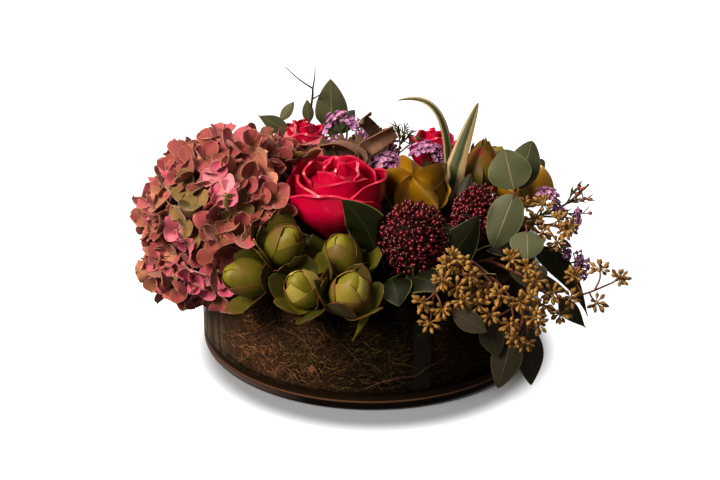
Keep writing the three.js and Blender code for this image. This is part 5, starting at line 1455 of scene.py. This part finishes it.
def make_seeded(number):
    """Twigs with a knot at each end, and club-shaped pods in rays round every knot."""
    path, umbels = SEEDED[number]
    lot = Gathered()
    tubes(lot, stem_line(path, 30), np.linspace(1.3, 0.7, 30), paint=1)
    for i, (steps, knot) in enumerate(umbels):
        knot = vec(*knot)
        start = point_along(path, steps)
        reach = np.linalg.norm(knot - start)
        draw = draws(number * 100 + i)
        bow = mix(start, knot, 0.5) + draw.normal(0, 0.06, 3) * reach
        tubes(lot, curve([start, bow, knot], 7), np.linspace(0.75, 0.6, 7), sides=5, paint=1)
        turns = stand(knot - start, draw.uniform(0, 6))
        ways = rays(PODS, number * 100 + i, -0.55) @ turns[0].T
        sizes = draw.uniform(0.82, 1.05, PODS)
        turned(lot, POD_OUTLINE, 8, stand(ways), np.repeat([knot], PODS, axis=0), sizes,
               tone=draw.uniform(-0.2, 0.35, (PODS, 1, 1)))
    piece(f"seeded_eucalyptus_{number}", lot, [POD, RED_TWIG],
          [f"eucalyptus_seed_{number}"])


# Statice

STATICES = {  # the foot of each spray, and the tops of its clusters
    1: ((-16, 44, 110), [(-33, 46, 146), (-26, 48, 155), (-15, 46, 152), (-7, 40, 146)]),
    2: ((-24, 20, 112), [(-37, 26, 139), (-20, 25, 142)]),
    3: ((11, 16, 108), [(4, 7, 133), (11, 12, 137), (17, 7, 132)]),
    4: ((36, 28, 104), [(35, 24, 138), (43, 27, 139), (50, 22, 134)]),
    5: ((104, -14, 88), [(126, -22, 122), (136, -20, 110), (150, -22, 100)]),
    6: ((104, -28, 80), [(141, -40, 84), (150, -44, 76), (154, -42, 68)]),
}
CUPS = 17  # in each cluster
CLUSTER_RADIUS = 7.2
CUP_OUTLINE = [(0, 0), (0.45, 0.2), (0.7, 1.8), (1.5, 3.2), (2.2, 3.7), (1.9, 3.8), (1.0, 3.0),
               (0, 2.6)]


def make_statice(number):
    """Clusters of small lobed cups on short stalks, in flat tops, on a branched stem."""
    base, clusters = STATICES[number]
    base = vec(*base)
    centre = np.mean([vec(*c) for c in clusters], axis=0)
    fork = mix(base, centre, 0.55)
    lot = Gathered()
    tubes(lot, stem_line([base, fork], 10), 1.1, paint=1)
    for i, top in enumerate(clusters):
        top = vec(*top)
        draw = draws(number * 50 + i)
        line = curve([fork, mix(fork, top, 0.6) + draw.normal(0, 1, 3), mix(fork, top, 0.85)], 8)
        tubes(lot, line, np.linspace(0.9, 0.6, 8), paint=1)
        turn = stand(top - fork)[0]
        index = np.arange(CUPS)
        out = CLUSTER_RADIUS * np.sqrt((index + 0.5) / CUPS)
        local = round_axis(out, index * GOLDEN_ANGLE, -0.035 * out**2 + draw.normal(0, 0.8, CUPS))
        seats = local @ turn.T + top - turn[:, 2] * 2.5
        ways = unit(local * vec(0.09, 0.09, 0) + vec(0, 0, 1)) @ turn.T
        turns = stand(ways, draw.uniform(0, 6, CUPS))
        turned(lot, CUP_OUTLINE, 10, turns, seats, draw.uniform(0.75, 1.1, CUPS), lobes=(5, 0.16),
               tone=draw.uniform(-0.3, 0.4, (CUPS, 1, 1)))
        tubes(lot, straight(line[-1][None], seats), 0.45, sides=4, paint=1)
    piece(f"statice_spray_{number}", lot, [LILAC, GREEN_STEM], [f"statice_{number}"])


# Striped leaves, dried curls, sprigs and the dark leaf

STRAPS = {
    1: dict(root=(56, 8, 104), bend=(64, 24, 186), tip=(20, 30, 172), width=8.5,
            facing=(0.5, -0.85, 0.3)),
    2: dict(root=(56, -6, 108), bend=(60, 0, 134), tip=(77, 8, 178), width=19,
            facing=(-0.25, -0.95, 0.1)),
}


def make_strap(number):
    """A long striped leaf that narrows to its tip, on a short stem."""
    spec = STRAPS[number]
    lot = Gathered()
    add_leaf(lot, thickness=0.5, shape="strap", fold=0.3, rows=40, columns=14, ripple=0.05,
             seed=number, **spec)
    tubes(lot, stem_line([vec(*spec["root"])], 8), 1.3, paint=1)
    piece(f"striped_strap_{number}", lot, [STRIPED, GREEN_STEM],
          [f"striped_leaf_{number}"])


CURLS = {
    1: dict(root=(-6, 10, 106), line=[(-7, 8, 128), (-5, 6, 142), (4, 4, 150), (17, 8, 157)],
            width=13, facing=(0.1, -0.8, 0.5)),
    2: dict(root=(-14, 4, 110), line=[(-12, 2, 128), (-8, -2, 142), (-22, 0, 149), (-36, 4, 145)],
            width=11, facing=(0, -0.5, 0.85)),
    3: dict(root=(8, 30, 110), line=[(8, 30, 130), (2, 26, 148), (-6, 24, 158), (-4, 18, 164)],
            width=12, facing=(0.3, -0.9, 0.2)),
}
CURL_TWIST = 50  # degrees from end to end


def turned_about(vectors, axes, angles):
    """Vectors turned about unit axes by angles: the part along the axis stays as it is."""
    cos, sin = np.cos(angles)[:, None], np.sin(angles)[:, None]
    along = np.sum(vectors * axes, axis=-1, keepdims=True)
    return vectors * cos + np.cross(axes, vectors) * sin + axes * along * (1 - cos)


def make_curl(number):
    """A dried ribbon along a curve, twisting as it goes, with its section curled like a gutter."""
    spec = CURLS[number]
    steps = 34
    line = curve([spec["root"], *spec["line"]], steps)
    share = np.linspace(0, 1, steps)
    ahead = unit(np.gradient(line, axis=0))
    facing = np.broadcast_to(vec(*spec["facing"]), (steps, 3))
    facing = turned_about(facing, ahead, np.radians(CURL_TWIST) * share)
    across = unit(np.cross(ahead, facing))
    up = unit(np.cross(across, ahead))
    t = np.linspace(-1, 1, 9)
    half = spec["width"] / 2 * np.minimum(1, 0.3 + 2.5 * share)[:, None]
    gutter = (0.28 * t**2 + 0.05 * np.sin(6 * share[:, None] + 4 * t)) * half
    grid = line[:, None] + across[:, None] * (t * half)[..., None] + up[:, None] * gutter[..., None]
    lot = Gathered()
    sheets(lot, grid[None], 0.8, tone=draws(number).uniform(-0.2, 0.3))
    tubes(lot, stem_line([vec(*spec["root"])], 6), 1.4)
    piece(f"dried_ribbon_{number}", lot, [DRIED], [f"dried_curl_{number}"])


NEEDLES = 12  # on each twig of the waxflower
SPRIGS = {  # the path of each stem, and its twigs: the point of the path, and the twig's tip
    "waxflower_1": ([(104, 0, 86), (126, -4, 96), (142, -8, 106), (157, -12, 123)],
                    [(2, (157, -14, 112)), (2, (150, -6, 118)), (1, (157, -16, 102)),
                     (2, (152, -16, 120))]),
    "waxflower_2": ([(20, 46, 104), (21, 46, 124), (22, 44, 132)],
                    [(2, (20, 44, 146)), (2, (26, 42, 147)), (2, (31, 44, 143)),
                     (1, (34, 42, 136))]),
    "bare_twig": ([(-52, 84, 88), (-48, 86, 126), (-44, 72, 158), (-43, 56, 172)],
                  [(3, (-63, 50, 191)), (3, (-41, 52, 190)), (2, (-37, 56, 168))]),
}
WAX_BUD = [(0, 0), (0.9, 0.3), (1.6, 1.6), (1.5, 2.6), (0.8, 3.4), (0, 3.7)]


def make_sprig(name):
    """Twigs to each tip. Waxflower has needle leaves on them, and one sprig has buds too."""
    path, tips = SPRIGS[name]
    lot = Gathered()
    bare = name == "bare_twig"
    tubes(lot, stem_line(path, 20), np.linspace(1.2, 0.7, 20), sides=6)
    draw = draws(len(name))
    for steps, tip in tips:
        start, tip = vec(*path[steps]), vec(*tip)
        bow = mix(start, tip, 0.5) + draw.normal(0, 0.6, 3)
        line = curve([start, bow, tip], 10)
        tubes(lot, line, np.linspace(0.7, 0.3 if bare else 0.45, 10), sides=5)
        if bare:
            continue
        ahead = unit(tip - start)
        seats = line[draw.integers(2, 10, NEEDLES)]
        ways = unit(ahead * 0.9 + draw.normal(0, 0.45, (NEEDLES, 3)))
        share = np.linspace(0, 1, 4)[None, :, None]
        needles = seats[:, None] + ways[:, None] * share * draw.uniform(5, 9, (NEEDLES, 1, 1))
        tubes(lot, needles, np.array([0.35, 0.5, 0.45, 0.15])[None], sides=4, paint=1)
        if name == "waxflower_1":
            buds = np.vstack([tip[None], line[[5, 7]] + draw.normal(0, 1.6, (2, 3))])
            turned(lot, WAX_BUD, 8, stand(unit(ahead + draw.normal(0, 0.3, (3, 3)))), buds, 0.9,
                   paint=2)
    piece(name + "_sprig", lot, [WOODY_STEM, GREEN_STEM, WAXFLOWER_BUD], [name])


def make_dark_leaf():
    """The long dark leaf that hangs down at the right."""
    lot = Gathered()
    add_leaf(lot, root=(114, -42, 86), tip=(155, -58, 40), bend=(140, -50, 82), width=17, fold=0.25,
             facing=(-0.2, -0.6, 0.8), shape="lance", rows=30, tone=0.35)
    tubes(lot, stem_line([vec(100, -38, 88), vec(114, -42, 86), vec(118, -44, 84)], 12), 1.1,
          paint=1)
    piece("dark_pointed_leaf", lot, [DARK_LEAF, GREEN_STEM], ["dark_leaf"])


BACKING = [  # root and tip of dry leaves that stand behind the red rose
    ((-34, 12, 100), (-46, 6, 147)), ((-26, 8, 100), (-35, 8, 152)),
    ((-18, 10, 100), (-22, 12, 153)), ((-8, 12, 100), (-8, 18, 151)), ((2, 8, 100), (6, 14, 146)),
    ((-28, 26, 100), (-28, 28, 146)), ((12, 4, 100), (16, 10, 133)),
    ((-14, 16, 100), (-15, 22, 147)),
]


def make_backing():
    """Broad dry leaves between the rose and the sprays behind it, darkened by painted shade."""
    lot = Gathered()
    for i, (root, tip) in enumerate(BACKING):
        add_leaf(lot, root=root, tip=tip, width=20, facing=(0.15 * (i % 3 - 1), -0.95, 0.3),
                 thickness=0.6, ripple=0.12, seed=200 + i, tone=-0.1 + 0.1 * (i % 3), shade=0.35)
    piece("dry_leaves_behind", lot, [DRIED])


LOW_LEAVES = 110
LOW_REACH = 108.0  # distance from the axis of the outermost foot of a low leaf


def make_low_foliage():
    """Short dark leaves low among the stems, so that no bare dome shows between the blooms."""
    draw = draws(77)
    lot = Gathered()
    for i in range(LOW_LEAVES):
        turn = i * GOLDEN_ANGLE
        out = LOW_REACH * math.sqrt((i + 3) / (LOW_LEAVES + 3))
        foot = vec(out * math.cos(turn), out * math.sin(turn), 0)
        foot[2] = float(foam_surface(min(out, FOAM_RADIUS))) + 2
        away = vec(math.cos(turn), math.sin(turn), draw.uniform(0.5, 1.6))
        away = unit(away + draw.normal(0, 0.35, 3))
        tip = foot + away * draw.uniform(18, 30)
        if taken(tip[None], (), -1)[0] or taken(mix(foot, tip, 0.5)[None], (), -3)[0]:
            continue
        side = unit(np.cross(away, draw.normal(0, 1, 3)))
        facing = unit(np.cross(side, away))
        facing = facing if facing[2] > 0 else -facing
        grid = blade(foot, tip, mix(foot, tip, 0.5) + facing * 3, draw.uniform(9, 15), facing,
                     "oval", 0.25, rows=9, columns=6, seed=i, clear=False)
        sheets(lot, grid, 0.5, tone=draw.uniform(-0.15, 0.1))
    piece("low_foliage", lot, [DARK_LEAF])


# Floor, lights and camera

FLOOR_GAP = 0.2  # so that the floor and the foot of the bowl do not share a plane
FLOOR_REACH = 6000.0
SHADOW_SHIFT = (-0.003, 0.022, 0.0)  # moves the shadow's middle to the front, in metres
SHADOW_EDGE = (0.116, 0.139)  # distances, in metres, between which the shadow ends
CAMERA_TARGET = Vector((-0.007864, 0.0, 0.073554))
CAMERA_DISTANCE = 1.3
CAMERA_TILT = math.radians(24.2035)
CAMERA_LENS = 88.04
LIGHT_TARGET = Vector((0.0, 0.0, 0.09))


def make_floor():
    """A plain pale sweep. Its own light makes it white away from the soft shadow, which it paints
    round the bowl.
    """
    x = np.linspace(-FLOOR_REACH, FLOOR_REACH, 3)
    grid = np.stack(np.meshgrid(x, x, indexing="ij"), axis=-1)
    points = np.concatenate([grid, np.full((3, 3, 1), -FLOOR_GAP)], axis=-1)
    faces = cells(np.arange(9).reshape(1, 3, 3).swapaxes(1, 2)).reshape(-1, 4)
    mesh = bpy.data.meshes.new("floor")
    mesh.from_pydata((points.reshape(-1, 3) * METRES).tolist(), [], faces.tolist())
    material, tree, shader = surface("pale sweep", Roughness=0.6, Base_Color=colour("#8e9cb0"),
                                     Emission_Color=colour("#ffffff"))
    place = add(tree, "TexCoord", out="Object")
    shifted = add(tree, "VectorMath", {0: place, 1: SHADOW_SHIFT}, operation="ADD")
    reach = add(tree, "VectorMath", {0: shifted}, out="Value", operation="LENGTH")
    # Painted shadow: the glow falls away in a ring round the bowl, shifted to the front, where the
    # lamps' own shadow shows.
    glow = add(tree, "MapRange",
               {"Value": reach, "From Min": SHADOW_EDGE[0], "From Max": SHADOW_EDGE[1],
                "To Min": 0.02, "To Max": 1.05}, interpolation_type="SMOOTHSTEP")
    wire(tree, shader, Emission_Strength=glow)
    mesh.materials.append(material)
    floor = bpy.data.objects.new("floor", mesh)
    bpy.context.scene.collection.objects.link(floor)
    floor.visible_diffuse = False
    floor.visible_glossy = False


def soft_light(name, place, size, power, tint):
    """A square softbox at a place in metres, of a power in watts, aimed at the flowers' middle."""
    light = bpy.data.lights.new(name, "AREA")
    light.shape = "SQUARE"
    light.size = size
    light.energy = power
    light.color = colour(tint)[:3]
    lamp = bpy.data.objects.new(name, light)
    lamp.location = place
    way = LIGHT_TARGET - Vector(place)
    lamp.rotation_euler = way.to_track_quat("-Z", "Y").to_euler()
    bpy.context.scene.collection.objects.link(lamp)


def make_camera():
    """The photograph's camera, in front of its target and above it."""
    data = bpy.data.cameras.new("camera")
    data.lens = CAMERA_LENS
    data.sensor_width = 36.0
    data.clip_start = 0.01
    camera = bpy.data.objects.new("camera", data)
    back = Vector((0.0, -math.cos(CAMERA_TILT), math.sin(CAMERA_TILT)))
    camera.location = CAMERA_TARGET + back * CAMERA_DISTANCE
    camera.rotation_euler = (-back).to_track_quat("-Z", "Y").to_euler()
    bpy.context.scene.collection.objects.link(camera)
    bpy.context.scene.camera = camera


def make_light():
    """Weak warm room light, a large key light at the front left and a soft one over the back."""
    world = bpy.data.worlds.new("studio")
    bpy.context.scene.world = world
    world.use_nodes = True
    background = world.node_tree.nodes["Background"]
    background.inputs["Color"].default_value = colour("#ffead4")
    background.inputs["Strength"].default_value = 0.14
    soft_light("key", place=(-1.05, -0.95, 1.25), size=0.8, power=56, tint="#ffe8cc")
    soft_light("top", place=(-0.1, 0.5, 1.6), size=0.9, power=12, tint="#fff0dc")
    bpy.context.scene.view_settings.view_transform = "Standard"


make_camera()
make_bowl()
make_moss()
make_moss_twigs()
make_moss_cover()
for rose in ROSES:
    make_rose(rose)
    make_rose_stem(rose)
for table, make in (
    (LEUCADENDRONS, make_leucadendron),
    (SKIMMIAS, make_skimmia),
    (LEAFY, make_leafy),
    (SEEDED, make_seeded),
    (STATICES, make_statice),
    (STRAPS, make_strap),
    (CURLS, make_curl),
    (SPRIGS, make_sprig),
):
    for entry in table:
        make(entry)
make_dark_leaf()
make_low_foliage()
make_backing()
make_hydrangea()

# Two solids show as they are, each in its own material
for kept, material in (("foam", FOAM), ("hydrangea_stem", WOODY_STEM)):
    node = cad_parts[kept]
    node.data.materials.clear()
    node.data.materials.append(material)

make_floor()
make_light()
